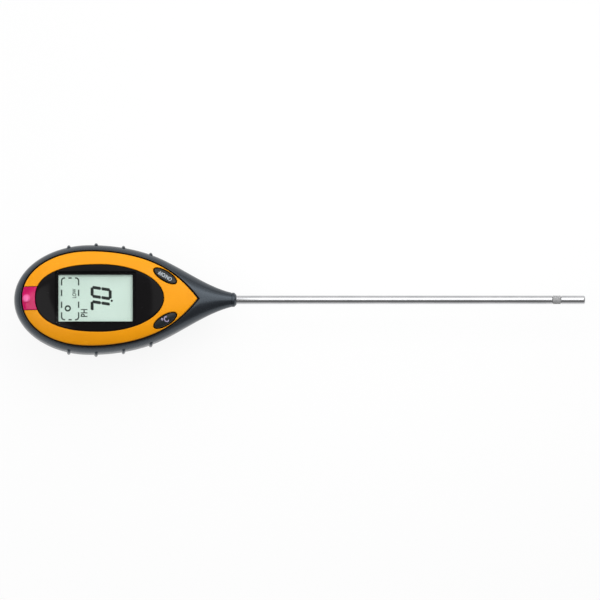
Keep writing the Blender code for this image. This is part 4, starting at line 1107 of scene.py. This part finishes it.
def case_screw(number):
    """A pan-head screw with a cross recess."""
    low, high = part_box(f"case_screw_{number}")
    station = (low.x + high.x) / 2 + ORIGIN_STATION
    side = (low.y + high.y) / 2
    radius = (high.x - low.x) / 2
    neck = low.z + SCREW_HEAD_HEIGHT
    profile = soften(
        [
            (radius * SCREW_DIMPLE_SHARE, low.z),
            (radius * SCREW_FACE_SHARE, low.z),
            (radius, low.z + SCREW_HEAD_HEIGHT * SCREW_RIM_SHARE),
            (radius, neck),
            (SCREW_RADIUS, neck),
            (SCREW_RADIUS, high.z - SCREW_RADIUS),
            (SCREW_RADIUS / 2, high.z),
        ],
        SCREW_HEAD_HEIGHT / 6,
    )
    screw = skin(f"case_screw_{number}_fine", [turned_up(station, side, profile, SMALL_SIDES)])
    slots = []
    half = radius * SCREW_SLOT_SHARE
    for long_half, short_half in ((half, SCREW_SLOT / 2), (SCREW_SLOT / 2, half)):
        mouth = rectangle(station, side, long_half, short_half)
        bottom = rectangle(station, side, SCREW_SLOT_TAPER * long_half, SCREW_SLOT_TAPER * short_half)
        levels = ((mouth, low.z - CUT_MARGIN), (mouth, low.z), (bottom, low.z + SCREW_HEAD_HEIGHT / 2))
        slots.append(skin("slot", [[ring(outline, z) for outline, z in levels]]))
    carve(screw, "DIFFERENCE", *slots)
    shade(screw)
    return screw


# Probe

def turned_piece(name, corners, radius):
    """A hollow piece turned about the probe's axis, with rounded edges."""
    return smooth_skin(name, [turned_along(soften(corners, radius, closed=True))], looped=True)


def probe_hub():
    start, end = ends("probe_hub")
    bore = PROBE_RADIUS + HUB_BORE_GAP
    collar = NOSE_REACH + COLLAR_GAP
    profile = [
        (start, bore),
        (start, HUB_FLANGE_RADIUS),
        (start + HUB_FLANGE_LENGTH, HUB_FLANGE_RADIUS),
        (start + HUB_FLANGE_LENGTH, HUB_SPIGOT_RADIUS),
        (collar, HUB_SPIGOT_RADIUS),
        (collar, NOSE_RADIUS),
        (end - COLLAR_CHAMFER, NOSE_RADIUS),
        (end, COLLAR_END_RADIUS),
        (end, bore),
    ]
    return turned_piece("probe_hub_fine", profile, EDGE_ROUND / 2)


def probe_tube():
    start, end = ends("probe_tube")
    bore = PROBE_RADIUS - PROBE_WALL
    corners = [(start, bore), (start, PROBE_RADIUS), (end, PROBE_RADIUS), (end, bore)]
    return turned_piece("probe_tube_fine", corners, EDGE_ROUND / 2)


def probe_insulator():
    start, end = ends("probe_insulator")
    spigot = PROBE_RADIUS - PROBE_WALL - SPIGOT_GAP
    bore = spigot - INSULATOR_WALL
    profile = [
        (start, bore),
        (start, spigot),
        (start + SPIGOT_LENGTH, spigot),
        (start + SPIGOT_LENGTH, PROBE_RADIUS),
        (end - SPIGOT_LENGTH, PROBE_RADIUS),
        (end - SPIGOT_LENGTH, spigot),
        (end, spigot),
        (end, bore),
    ]
    return turned_piece("probe_insulator_fine", profile, EDGE_ROUND)


def probe_tip():
    start, end = ends("probe_tip")
    bore = PROBE_RADIUS - PROBE_WALL
    shoulder = end - TIP_ROUND
    corners = [(start + TIP_BORE_DEPTH, bore), (start, bore), (start, PROBE_RADIUS), (shoulder, PROBE_RADIUS)]
    profile = soften(corners, EDGE_ROUND / 2)
    for k in range(1, TIP_STEPS + 1):
        turn = math.pi / 2 * k / TIP_STEPS
        shrink = TIP_ROUND * (1 - math.cos(turn))
        profile.append((end - TIP_ROUND * (1 - math.sin(turn)), PROBE_RADIUS - shrink))
    return smooth_skin("probe_tip_fine", [turned_along(profile)])


# Display and marks

def display_glass():
    """The display's glass with ground edges."""
    low, high = GLASS_BOX
    start, end = ends("display_glass")
    levels = [
        (EDGE_ROUND, low.z),
        (0.0, low.z + EDGE_ROUND),
        (0.0, high.z - EDGE_ROUND),
        (EDGE_ROUND, high.z),
    ]
    rings = []
    for shrink, z in levels:
        rings.append(ring(rounded_box(start + shrink, end - shrink, high.y - shrink, GLASS_CORNER), z))
    return smooth_skin("display_glass_fine", [rings])


def on_display(across, up):
    """A place on the display: across runs along a line of digits, up runs from their feet to their heads."""
    return VIEW_STATION - up, across


def printed(name, outlines):
    """Marks on the display as thin plates, from closed outlines."""
    loops = [[on_display(across, up) for across, up in outline] for outline in outlines]
    return skin(name, [[ring(loop, MARK_LOW), ring(loop, MARK_HIGH)] for loop in loops])


def printed_ring(name, middle, outer, inner):
    rings = []
    for radius, levels in ((outer, (MARK_LOW, MARK_HIGH)), (inner, (MARK_HIGH, MARK_LOW))):
        loop = [on_display(middle[0] + a, middle[1] + b) for a, b in circle(radius, SMALL_SIDES)]
        rings += [ring(loop, z) for z in levels]
    return skin(name, [rings], looped=True)


def digit_bars(lit, middle):
    """Outlines of the lit bars of a digit, each pointed at both ends."""
    half = DIGIT_WIDTH / 2
    tall = DIGIT_HEIGHT / 2
    corner = {
        "top": [(-half, tall), (half, tall)],
        "upper_right": [(half, tall), (half, 0.0)],
        "lower_right": [(half, 0.0), (half, -tall)],
        "bottom": [(half, -tall), (-half, -tall)],
        "lower_left": [(-half, -tall), (-half, 0.0)],
        "upper_left": [(-half, 0.0), (-half, tall)],
    }
    outlines = []
    for bar in lit:
        start, end = [Vector(point) for point in corner[bar]]
        along = (end - start).normalized()
        across = Vector((-along.y, along.x)) * BAR_WIDTH / 2
        start = start + along * BAR_GAP
        end = end - along * BAR_GAP
        slope = along * BAR_POINT
        near = start + slope
        far = end - slope
        outline = [start, near + across, far + across, end, far - across, near - across]
        outlines.append([(middle[0] + p.x + DIGIT_LEAN * p.y, middle[1] + p.y) for p in outline])
    return outlines


def strip(points, width):
    """Outline of a line of even width through points."""
    route = [Vector(point) for point in points]
    left = []
    right = []
    for k, point in enumerate(route):
        along = (route[min(k + 1, len(route) - 1)] - route[max(k - 1, 0)]).normalized()
        across = Vector((-along.y, along.x)) * width / 2
        left.append(tuple(point + across))
        right.append(tuple(point - across))
    return left + right[::-1]


def dashed_frame():
    """A dashed frame with rounded corners, two dashes on each long side and one on each short side."""
    low, high = FRAME_ACROSS
    foot, head = FRAME_UP
    outlines = []
    for side, reach in ((low, 1), (high, -1)):
        for level, rise in ((foot, 1), (head, -1)):
            centre = Vector((side + reach * FRAME_ROUND, level + rise * FRAME_ROUND))
            points = [(side + reach * (FRAME_ROUND + FRAME_ACROSS_LEG), level)]
            for k in range(FRAME_STEPS + 1):
                turn = math.pi / 2 * k / FRAME_STEPS
                bend = Vector((reach * math.sin(turn), rise * math.cos(turn)))
                points.append(tuple(centre - bend * FRAME_ROUND))
            outlines.append(strip(points + [(side, centre.y + rise * FRAME_UP_LEG)], FRAME_LINE))
    middle = (foot + head) / 2
    half = FRAME_DASH / 2
    for level in (foot, head):
        for across in ((low + high) / 2 - FRAME_DASH_SIDE, (low + high) / 2 + FRAME_DASH_SIDE):
            outlines.append(strip([(across - half, level), (across + half, level)], FRAME_LINE))
    for side in (low, high):
        outlines.append(strip([(side, middle - FRAME_DASH / 4), (side, middle + FRAME_DASH / 4)], FRAME_LINE))
    return outlines


def dot(middle, radius):
    return [(middle[0] + a, middle[1] + b) for a, b in circle(radius, DOT_SIDES)]


def refine(mesh, step):
    """Splits every edge longer than step, so that a flat mesh can be laid on a curved surface."""
    work = bmesh.new()
    work.from_mesh(mesh)
    bmesh.ops.remove_doubles(work, verts=work.verts, dist=HAIR)
    bmesh.ops.triangulate(work, faces=work.faces)
    long_edges = [edge for edge in work.edges if edge.calc_length() > step]
    while long_edges:
        bmesh.ops.subdivide_edges(work, edges=long_edges, cuts=1)
        bmesh.ops.triangulate(work, faces=work.faces)
        long_edges = [edge for edge in work.edges if edge.calc_length() > step]
    work.to_mesh(mesh)
    work.free()


def draped(name, words, size, station, side, turn, surface):
    """Words as a thin plate that lies on a surface."""
    face = bpy.data.curves.new(name, "FONT")
    face.body = words
    face.size = size
    face.align_x = "CENTER"
    face.align_y = "CENTER"
    face.extrude = MARK_PROUD
    face.offset = size * LETTER_WEIGHT
    holder = bpy.data.objects.new(name, face)
    bpy.context.scene.collection.objects.link(holder)
    graph = bpy.context.evaluated_depsgraph_get()
    mesh = bpy.data.meshes.new_from_object(holder.evaluated_get(graph))
    bpy.data.objects.remove(holder)
    mesh.transform(Matrix.Rotation(turn, 4, "Z") @ Matrix.Diagonal((LETTER_STRETCH, 1.0, 1.0, 1.0)))
    refine(mesh, LETTER_STEP)
    for vertex in mesh.vertices:
        s = station + vertex.co.x
        y = side + vertex.co.y
        vertex.co = (x_at(s), y, surface(s, y) + vertex.co.z)
    obj = bpy.data.objects.new(name, mesh)
    bpy.context.scene.collection.objects.link(obj)
    return obj


# Materials

def linear(level):
    share = level / 255
    return share / 12.92 if share <= 0.04045 else ((share + 0.055) / 1.055) ** 2.4


def tint(levels):
    return (*[linear(level) for level in levels], 1.0)


class Look:
    """A material with one principled shader that works in the coordinates of its piece, in metres."""

    def __init__(self, name):
        self.material = bpy.data.materials.new(name)
        self.material.use_nodes = True
        self.tree = self.material.node_tree
        self.shader = self.tree.nodes["Principled BSDF"]
        self.place = self.tree.nodes.new("ShaderNodeTexCoord").outputs["Object"]

    def fix(self, socket, value):
        self.shader.inputs[socket].default_value = value

    def link(self, output, socket):
        self.tree.links.new(output, self.shader.inputs[socket])

    def noise(self, size, detail=2.0, stretch=(1.0, 1.0, 1.0)):
        """Noise with cells about size metres across, drawn out by stretch along each axis."""
        mapping = self.tree.nodes.new("ShaderNodeMapping")
        mapping.inputs["Scale"].default_value = [1 / (size * pull) for pull in stretch]
        texture = self.tree.nodes.new("ShaderNodeTexNoise")
        texture.inputs["Scale"].default_value = 1.0
        texture.inputs["Detail"].default_value = detail
        self.tree.links.new(self.place, mapping.inputs["Vector"])
        self.tree.links.new(mapping.outputs["Vector"], texture.inputs["Vector"])
        return texture.outputs["Fac"]

    def span(self, value, low, high, start=0.3, end=0.7):
        """Spread a value that runs from start to end over low to high."""
        node = self.tree.nodes.new("ShaderNodeMapRange")
        for socket, level in (("From Min", start), ("From Max", end), ("To Min", low), ("To Max", high)):
            node.inputs[socket].default_value = level
        self.tree.links.new(value, node.inputs["Value"])
        return node.outputs["Result"]

    def mix(self, share, first, second):
        """Blend two colours, each given as levels or taken from a node."""
        node = self.tree.nodes.new("ShaderNodeMix")
        node.data_type = "RGBA"
        self.tree.links.new(share, node.inputs[0])
        for socket, colour in ((node.inputs[6], first), (node.inputs[7], second)):
            if isinstance(colour, tuple):
                socket.default_value = tint(colour)
            else:
                self.tree.links.new(colour, socket)
        return node.outputs[2]

    def bump(self, height, depth):
        node = self.tree.nodes.new("ShaderNodeBump")
        node.inputs["Distance"].default_value = depth
        self.tree.links.new(height, node.inputs["Height"])
        self.link(node.outputs["Normal"], "Normal")


def moulded(name, dark, light, rough, grain, depth, shine=0.5):
    """Moulded plastic: slow clouds of colour, a fine grain, and scuffs that are paler and rougher."""
    look = Look(name)
    cloud = look.noise(0.014, 3.0)
    speck = look.noise(grain, 1.0)
    scuff = look.span(look.noise(0.0011, 4.0, (5.0, 1.0, 1.0)), 0.0, 0.35, 0.62, 0.74)
    colour = look.mix(look.span(cloud, 0.0, 1.0), dark, light)
    look.link(look.mix(scuff, colour, tuple(min(255, level + 22) for level in light)), "Base Color")
    look.link(look.span(speck, rough[0], rough[1]), "Roughness")
    look.fix("Specular IOR Level", shine)
    look.bump(speck, depth)
    return look


def case_look():
    """Dark grey plastic with a cool sheen."""
    look = moulded("case_look", (16, 18, 22), (22, 24, 29), (0.22, 0.32), 0.00022, 1e-5, 0.9)
    look.fix("Specular Tint", tint((224, 240, 255)))
    return look


def polished(name, dark, light, rough, size, stretch, depth):
    """Bare metal with fine polishing lines, drawn out by stretch, and slow clouds of tarnish."""
    look = Look(name)
    lines = look.noise(size, 3.0, stretch)
    cloud = look.noise(0.009, 2.0)
    look.link(look.mix(look.span(cloud, 0.0, 1.0), dark, light), "Base Color")
    look.link(look.span(lines, rough[0], rough[1]), "Roughness")
    look.fix("Metallic", 1.0)
    look.bump(lines, depth)
    return look


def lens_look():
    """Glossy black acrylic with faint smears and a few specks of dust."""
    look = Look("lens_look")
    dust = look.span(look.noise(0.0012, 0.0), 0.0, 0.2, 0.80, 0.84)
    look.link(look.mix(dust, (19, 18, 19), (62, 62, 64)), "Base Color")
    look.link(look.span(look.noise(0.011, 3.0, (1.0, 2.5, 1.0)), 0.05, 0.16), "Roughness")
    look.fix("Specular IOR Level", 0.08)
    return look


def clear_look():
    """The clear part of the lens."""
    look = Look("clear_look")
    look.link(look.mix(look.span(look.noise(0.01), 0.0, 1.0), (24, 24, 25), (34, 34, 35)), "Base Color")
    look.link(look.span(look.noise(0.011, 3.0), 0.04, 0.12), "Roughness")
    look.fix("Alpha", 0.04)
    look.fix("Specular IOR Level", 0.3)
    return look


def window_look():
    """Magenta acrylic that is paler in the dome over the sensor."""
    look = Look("window_look")
    cloud = look.span(look.noise(0.004, 2.0), 0.0, 1.0)
    body = look.mix(cloud, (189, 3, 81), (208, 6, 102))
    away = look.tree.nodes.new("ShaderNodeVectorMath")
    away.operation = "DISTANCE"
    away.inputs[1].default_value = (x_at(DOME_STATION), 0.0, front_z(DOME_STATION, 0.0))
    look.tree.links.new(look.place, away.inputs[0])
    core = look.span(away.outputs["Value"], 1.0, 0.0, DOME_LENGTH * 0.4, DOME_LENGTH * 0.75)
    look.link(look.mix(core, body, (250, 112, 178)), "Base Color")
    look.link(look.span(look.noise(0.0006, 1.0), 0.12, 0.22), "Roughness")
    look.fix("Specular IOR Level", 0.3)
    return look


def display_look():
    """The pale reflector of a liquid crystal display, behind ground glass."""
    look = Look("display_look")
    cloud = look.span(look.noise(0.016, 2.0), 0.0, 1.0)
    fibre = look.noise(0.0002, 1.0, (1.0, 8.0, 1.0))
    paper = look.mix(cloud, (216, 240, 227), (223, 247, 234))
    look.link(look.mix(look.span(fibre, 0.0, 0.3), paper, (216, 236, 226)), "Base Color")
    look.link(look.span(fibre, 0.3, 0.42), "Roughness")
    return look


def mark_look(name, dark, light):
    """Thin printed or lit marks with a slightly uneven edge of colour."""
    look = Look(name)
    look.link(look.mix(look.span(look.noise(0.0006, 2.0), 0.0, 1.0), dark, light), "Base Color")
    look.link(look.span(look.noise(0.0003, 1.0), 0.35, 0.5), "Roughness")
    return look


def board_look():
    """Green board laminate with copper tracks below the lacquer."""
    look = Look("board_look")
    tracks = look.tree.nodes.new("ShaderNodeTexBrick")
    tracks.inputs["Scale"].default_value = 120.0
    tracks.inputs["Mortar Size"].default_value = 0.025
    tracks.inputs["Color1"].default_value = tint((20, 84, 50))
    tracks.inputs["Color2"].default_value = tint((24, 92, 56))
    tracks.inputs["Mortar"].default_value = tint((66, 136, 88))
    look.tree.links.new(look.place, tracks.inputs["Vector"])
    look.link(tracks.outputs["Color"], "Base Color")
    look.link(look.span(look.noise(0.0006), 0.28, 0.42), "Roughness")
    look.bump(tracks.outputs["Fac"], 0.00003)
    return look


def strip_look():
    """Rubber strip with thin layers that conduct, across its length."""
    look = Look("strip_look")
    layers = look.tree.nodes.new("ShaderNodeTexWave")
    layers.bands_direction = "Y"
    layers.inputs["Scale"].default_value = 900.0
    look.tree.links.new(look.place, layers.inputs["Vector"])
    look.link(look.mix(layers.outputs["Fac"], (40, 40, 43), (104, 104, 110)), "Base Color")
    look.link(look.span(look.noise(0.0005), 0.55, 0.75), "Roughness")
    return look


def make_looks():
    """One look for each material slot, and the few that only parts of pieces have."""
    looks = {
        "case_plastic": case_look(),
        # Near-black look for the faces in the recess round the face plate: painted shade that darkens the
        # groove where shade falls
        "recess": moulded("recess_painted_shade_look", (15, 14, 13), (20, 19, 18), (0.6, 0.75), 0.0003, 1e-5),
        "face_plastic": moulded("face_look", (238, 153, 3), (243, 158, 6), (0.38, 0.5), 0.0007, 6e-6, 0.18),
        "key_plastic": moulded("key_look", (27, 31, 33), (34, 38, 41), (0.28, 0.4), 0.0003, 8e-6, 0.35),
        "insulator_plastic": moulded(
            "insulator_look", (146, 146, 147), (156, 156, 157), (0.4, 0.55), 0.0003, 1e-5
        ),
        "component_plastic": moulded("component_look", (24, 24, 26), (34, 34, 36), (0.45, 0.6), 0.0002, 1e-5),
        "red_wire": moulded("red_wire_look", (166, 16, 18), (184, 24, 24), (0.4, 0.5), 0.0004, 6e-6),
        "black_wire": moulded("black_wire_look", (17, 17, 19), (26, 26, 28), (0.4, 0.5), 0.0004, 6e-6),
        "sensor_resin": moulded("sensor_look", (218, 218, 204), (232, 232, 222), (0.08, 0.14), 0.0008, 3e-6),
        "probe_steel": polished(
            "steel_look", (194, 195, 197), (206, 206, 208), (0.12, 0.2), 0.00006, (1.0, 60.0, 60.0), 4e-7
        ),
        "zinc_steel": polished(
            "zinc_look", (172, 178, 186), (192, 194, 190), (0.25, 0.42), 0.00025, (1.0, 1.0, 1.0), 6e-6
        ),
        "battery_metal": polished(
            "battery_look", (138, 142, 150), (152, 154, 160), (0.3, 0.45), 0.00012, (40.0, 40.0, 1.0), 4e-6
        ),
        "lens_acrylic": lens_look(),
        "clear": clear_look(),
        "window_acrylic": window_look(),
        "display_glass": display_look(),
        "board_laminate": board_look(),
        "strip_rubber": strip_look(),
        "lit_mark": mark_look("lit_mark_look", (14, 26, 22), (24, 38, 32)),
        "fine_mark": mark_look("fine_mark_look", (40, 58, 50), (54, 74, 64)),
        "power_legend": mark_look("power_legend_look", (168, 176, 182), (182, 190, 196)),
        "unit_legend": mark_look("unit_legend_look", (160, 148, 182), (178, 168, 198)),
    }
    return {name: look.material for name, look in looks.items()}


# Assembly

def dress(obj, *looks):
    obj.data.materials.clear()
    for look in looks:
        obj.data.materials.append(look)


def settle(obj, body, slot, *nodes):
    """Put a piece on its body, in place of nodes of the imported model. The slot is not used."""
    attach(obj, body)
    if nodes:
        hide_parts(*nodes)


def add(obj, looks, body, slot, *nodes):
    """Settle a piece that has the look of its slot all over."""
    dress(obj, looks[slot])
    settle(obj, body, slot, *nodes)


def dress_nodes(looks):
    """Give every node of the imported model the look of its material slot."""
    for part in frame["record"]["subparts"]:
        node = frame["nodes"][part["node"]]
        shade(node)
        for holder in node.material_slots:
            holder.material = looks[part["material_slot"]]


def add_shells(looks):
    shell = front_shell()
    dress(shell, looks["case_plastic"], looks["recess"])
    # Faces in the recess take the near-black look: painted shade in the groove round the face plate
    for face in shell.data.polygons:
        face.material_index = int(in_recess(face))
    settle(shell, "case", "case_plastic", "front_shell")
    add(rear_shell(), looks, "case", "case_plastic", "rear_shell")
    add(battery_door(), looks, "battery_door_hinge", "case_plastic", "battery_door")
    for number in range(1, SCREW_COUNT + 1):
        add(case_screw(number), looks, "case", "zinc_steel", f"case_screw_{number}")


def add_front(looks):
    add(face_plate(), looks, "case", "face_plastic", "face_plate")
    settle(display_lens(looks), "case", "lens_acrylic", "display_lens")
    add(light_window(), looks, "case", "window_acrylic", "light_window")
    legends = (
        ("power_key", 1, "ON/OFF", POWER_LEGEND_SIZE, math.pi - KEY_TILT, "power_legend"),
        ("unit_key", -1, "\u00b0C", UNIT_LEGEND_SIZE, KEY_TILT, "unit_legend"),
    )
    for name, side, words, size, turn, look in legends:
        add(key(name, side), looks, f"{name}_slide", "key_plastic", name)
        legend = draped(f"{name}_legend", words, size, KEY_STATION, side * KEY_SIDE, turn, key_top(side))
        dress(legend, looks[look])
        settle(legend, f"{name}_slide", "key_plastic")


def add_probe(looks):
    add(probe_hub(), looks, "case", "case_plastic", "probe_hub")
    add(probe_tube(), looks, "case", "probe_steel", "probe_tube")
    add(probe_insulator(), looks, "case", "insulator_plastic", "probe_insulator")
    add(probe_tip(), looks, "case", "probe_steel", "probe_tip")


def add_display(looks):
    add(display_glass(), looks, "case", "display_glass", "display_glass")
    zero = ("top", "upper_right", "lower_right", "bottom", "lower_left", "upper_left")
    seven = ("top", "upper_right", "lower_right")
    bars = digit_bars(zero, DIGIT_PLACE)
    bars += digit_bars(seven, (DIGIT_PLACE[0] - DIGIT_PITCH, DIGIT_PLACE[1]))
    bars.append(dot(DOT_PLACE, DOT_RADIUS))
    marks = [(printed("display_digits", bars), "lit_mark")]
    marks.append((printed("display_frame_dashes", dashed_frame()), "fine_mark"))
    marks.append((printed_ring("display_ring", RING_PLACE, RING_OUTER, RING_INNER), "fine_mark"))

    def glass_top(station, y):
        return GLASS_BOX[1].z

    for name, words, size, spot in (
        ("display_word", "LOW", WORD_SIZE, WORD_PLACE),
        ("display_unit", "PH", UNIT_SIZE, UNIT_PLACE),
    ):
        station, side = on_display(*spot)
        marks.append((draped(name, words, size, station, side, math.pi / 2, glass_top), "fine_mark"))
    for mark, look in marks:
        dress(mark, looks[look])
        settle(mark, "case", "display_glass")


def make_world():
    """A plain studio sky, pale near the horizon, and dimmer on the camera's side than behind the object."""
    world = bpy.data.worlds.new("studio")
    bpy.context.scene.world = world
    world.use_nodes = True
    tree = world.node_tree
    direction = tree.nodes.new("ShaderNodeTexCoord").outputs["Generated"]
    parts = tree.nodes.new("ShaderNodeSeparateXYZ")
    tree.links.new(direction, parts.inputs["Vector"])
    levels = []
    for axis, start, end, low, high in (("Z", *HORIZON_BAND, 1.0, 0.0), ("Y", *SKY_TURN, SKY_NEAR, SKY_FAR)):
        level = tree.nodes.new("ShaderNodeMapRange")
        for socket, value in (("From Min", start), ("From Max", end), ("To Min", low), ("To Max", high)):
            level.inputs[socket].default_value = value
        tree.links.new(parts.outputs[axis], level.inputs["Value"])
        levels.append(level.outputs["Result"])
    brighter = tree.nodes.new("ShaderNodeMath")
    brighter.operation = "MAXIMUM"
    tree.links.new(levels[0], brighter.inputs[0])
    tree.links.new(levels[1], brighter.inputs[1])
    tree.links.new(brighter.outputs["Value"], tree.nodes["Background"].inputs["Strength"])
    tree.nodes["Background"].inputs["Color"].default_value = (1.0, 1.0, 1.0, 1.0)


def make_floor():
    """A white floor that shows a faint shadow."""
    made = bpy.data.materials.new("floor_look")
    made.use_nodes = True
    tree = made.node_tree
    shader = tree.nodes["Principled BSDF"]
    shader.inputs["Base Color"].default_value = tint(FLOOR_TINT)
    shader.inputs["Roughness"].default_value = FLOOR_ROUGHNESS
    shader.inputs["Specular IOR Level"].default_value = 0.0
    glow = tree.nodes.new("ShaderNodeEmission")
    path = tree.nodes.new("ShaderNodeLightPath")
    seen = path.outputs["Is Camera Ray"]
    for ray in ("Is Glossy Ray", "Is Transmission Ray"):
        either = tree.nodes.new("ShaderNodeMath")
        either.operation = "MAXIMUM"
        tree.links.new(seen, either.inputs[0])
        tree.links.new(path.outputs[ray], either.inputs[1])
        seen = either.outputs["Value"]
    share = tree.nodes.new("ShaderNodeMath")
    share.operation = "MULTIPLY"
    share.inputs[1].default_value = FLOOR_GLOW
    tree.links.new(seen, share.inputs[0])
    blend = tree.nodes.new("ShaderNodeMixShader")
    tree.links.new(share.outputs["Value"], blend.inputs[0])
    tree.links.new(shader.outputs["BSDF"], blend.inputs[1])
    tree.links.new(glow.outputs["Emission"], blend.inputs[2])
    tree.links.new(blend.outputs["Shader"], tree.nodes["Material Output"].inputs["Surface"])
    corners = [(x, y, 0.0) for x, y in rectangle(0.0, 0.0, FLOOR_HALF, FLOOR_HALF)]
    floor = piece("floor", corners, [(0, 1, 2, 3)])
    floor.data.materials.append(made)
    floor.location.z = -FLOOR_GAP


def add_lamp(name, location, target, size, energy, mirrored=True):
    """A rectangular lamp; one that isn't mirrored lights a surface without a highlight of its own."""
    lamp = bpy.data.lights.new(name, "AREA")
    lamp.shape = "RECTANGLE"
    lamp.size, lamp.size_y = size
    lamp.energy = energy
    holder = bpy.data.objects.new(name, lamp)
    holder.location = location
    aim = Vector(target) - holder.location
    holder.rotation_euler = aim.to_track_quat("-Z", "Y").to_euler()
    holder.visible_camera = False
    holder.visible_glossy = mirrored
    bpy.context.scene.collection.objects.link(holder)


def make_lamps():
    """A large key from behind the object, a fill from its round end, and a strip that the steel mirrors."""
    add_lamp("key_light", KEY_PLACE, KEY_AIM, KEY_SIZE, KEY_ENERGY, mirrored=False)
    add_lamp("sheen_light", SHEEN_PLACE, KEY_AIM, KEY_SIZE, SHEEN_ENERGY)
    add_lamp("fill_light", FILL_PLACE, (0.0, 0.0, 0.0), FILL_SIZE, FILL_ENERGY)
    add_lamp("strip_light", STRIP_PLACE, (*STRIP_PLACE[:2], 0.0), STRIP_SIZE, STRIP_ENERGY)


def make_camera():
    """A very long lens, so that near and far parts of the head keep their places."""
    scene = bpy.context.scene
    view = bpy.data.cameras.new("photo_view")
    view.lens = CAMERA_LENS
    view.sensor_width = CAMERA_SENSOR
    camera = bpy.data.objects.new("photo_view", view)
    distance = PHOTO_SPAN * CAMERA_LENS / CAMERA_SENSOR
    level = math.cos(CAMERA_RISE)
    back = Vector((-level * math.sin(CAMERA_TURN), -level * math.cos(CAMERA_TURN), math.sin(CAMERA_RISE)))
    right = (Vector((1.0, 0.0, 0.0)) - back * back.x).normalized()
    up = back.cross(right)
    placed = Matrix((right, up, back)).transposed().to_4x4()
    placed.translation = Vector(CAMERA_TARGET) + distance * back
    camera.matrix_world = placed
    scene.collection.objects.link(camera)
    scene.camera = camera
    scene.view_settings.view_transform = "Standard"


def main():
    looks = make_looks()
    make_camera()
    make_world()
    make_floor()
    make_lamps()
    dress_nodes(looks)
    add_shells(looks)
    add_front(looks)
    add_display(looks)
    add_probe(looks)


main()
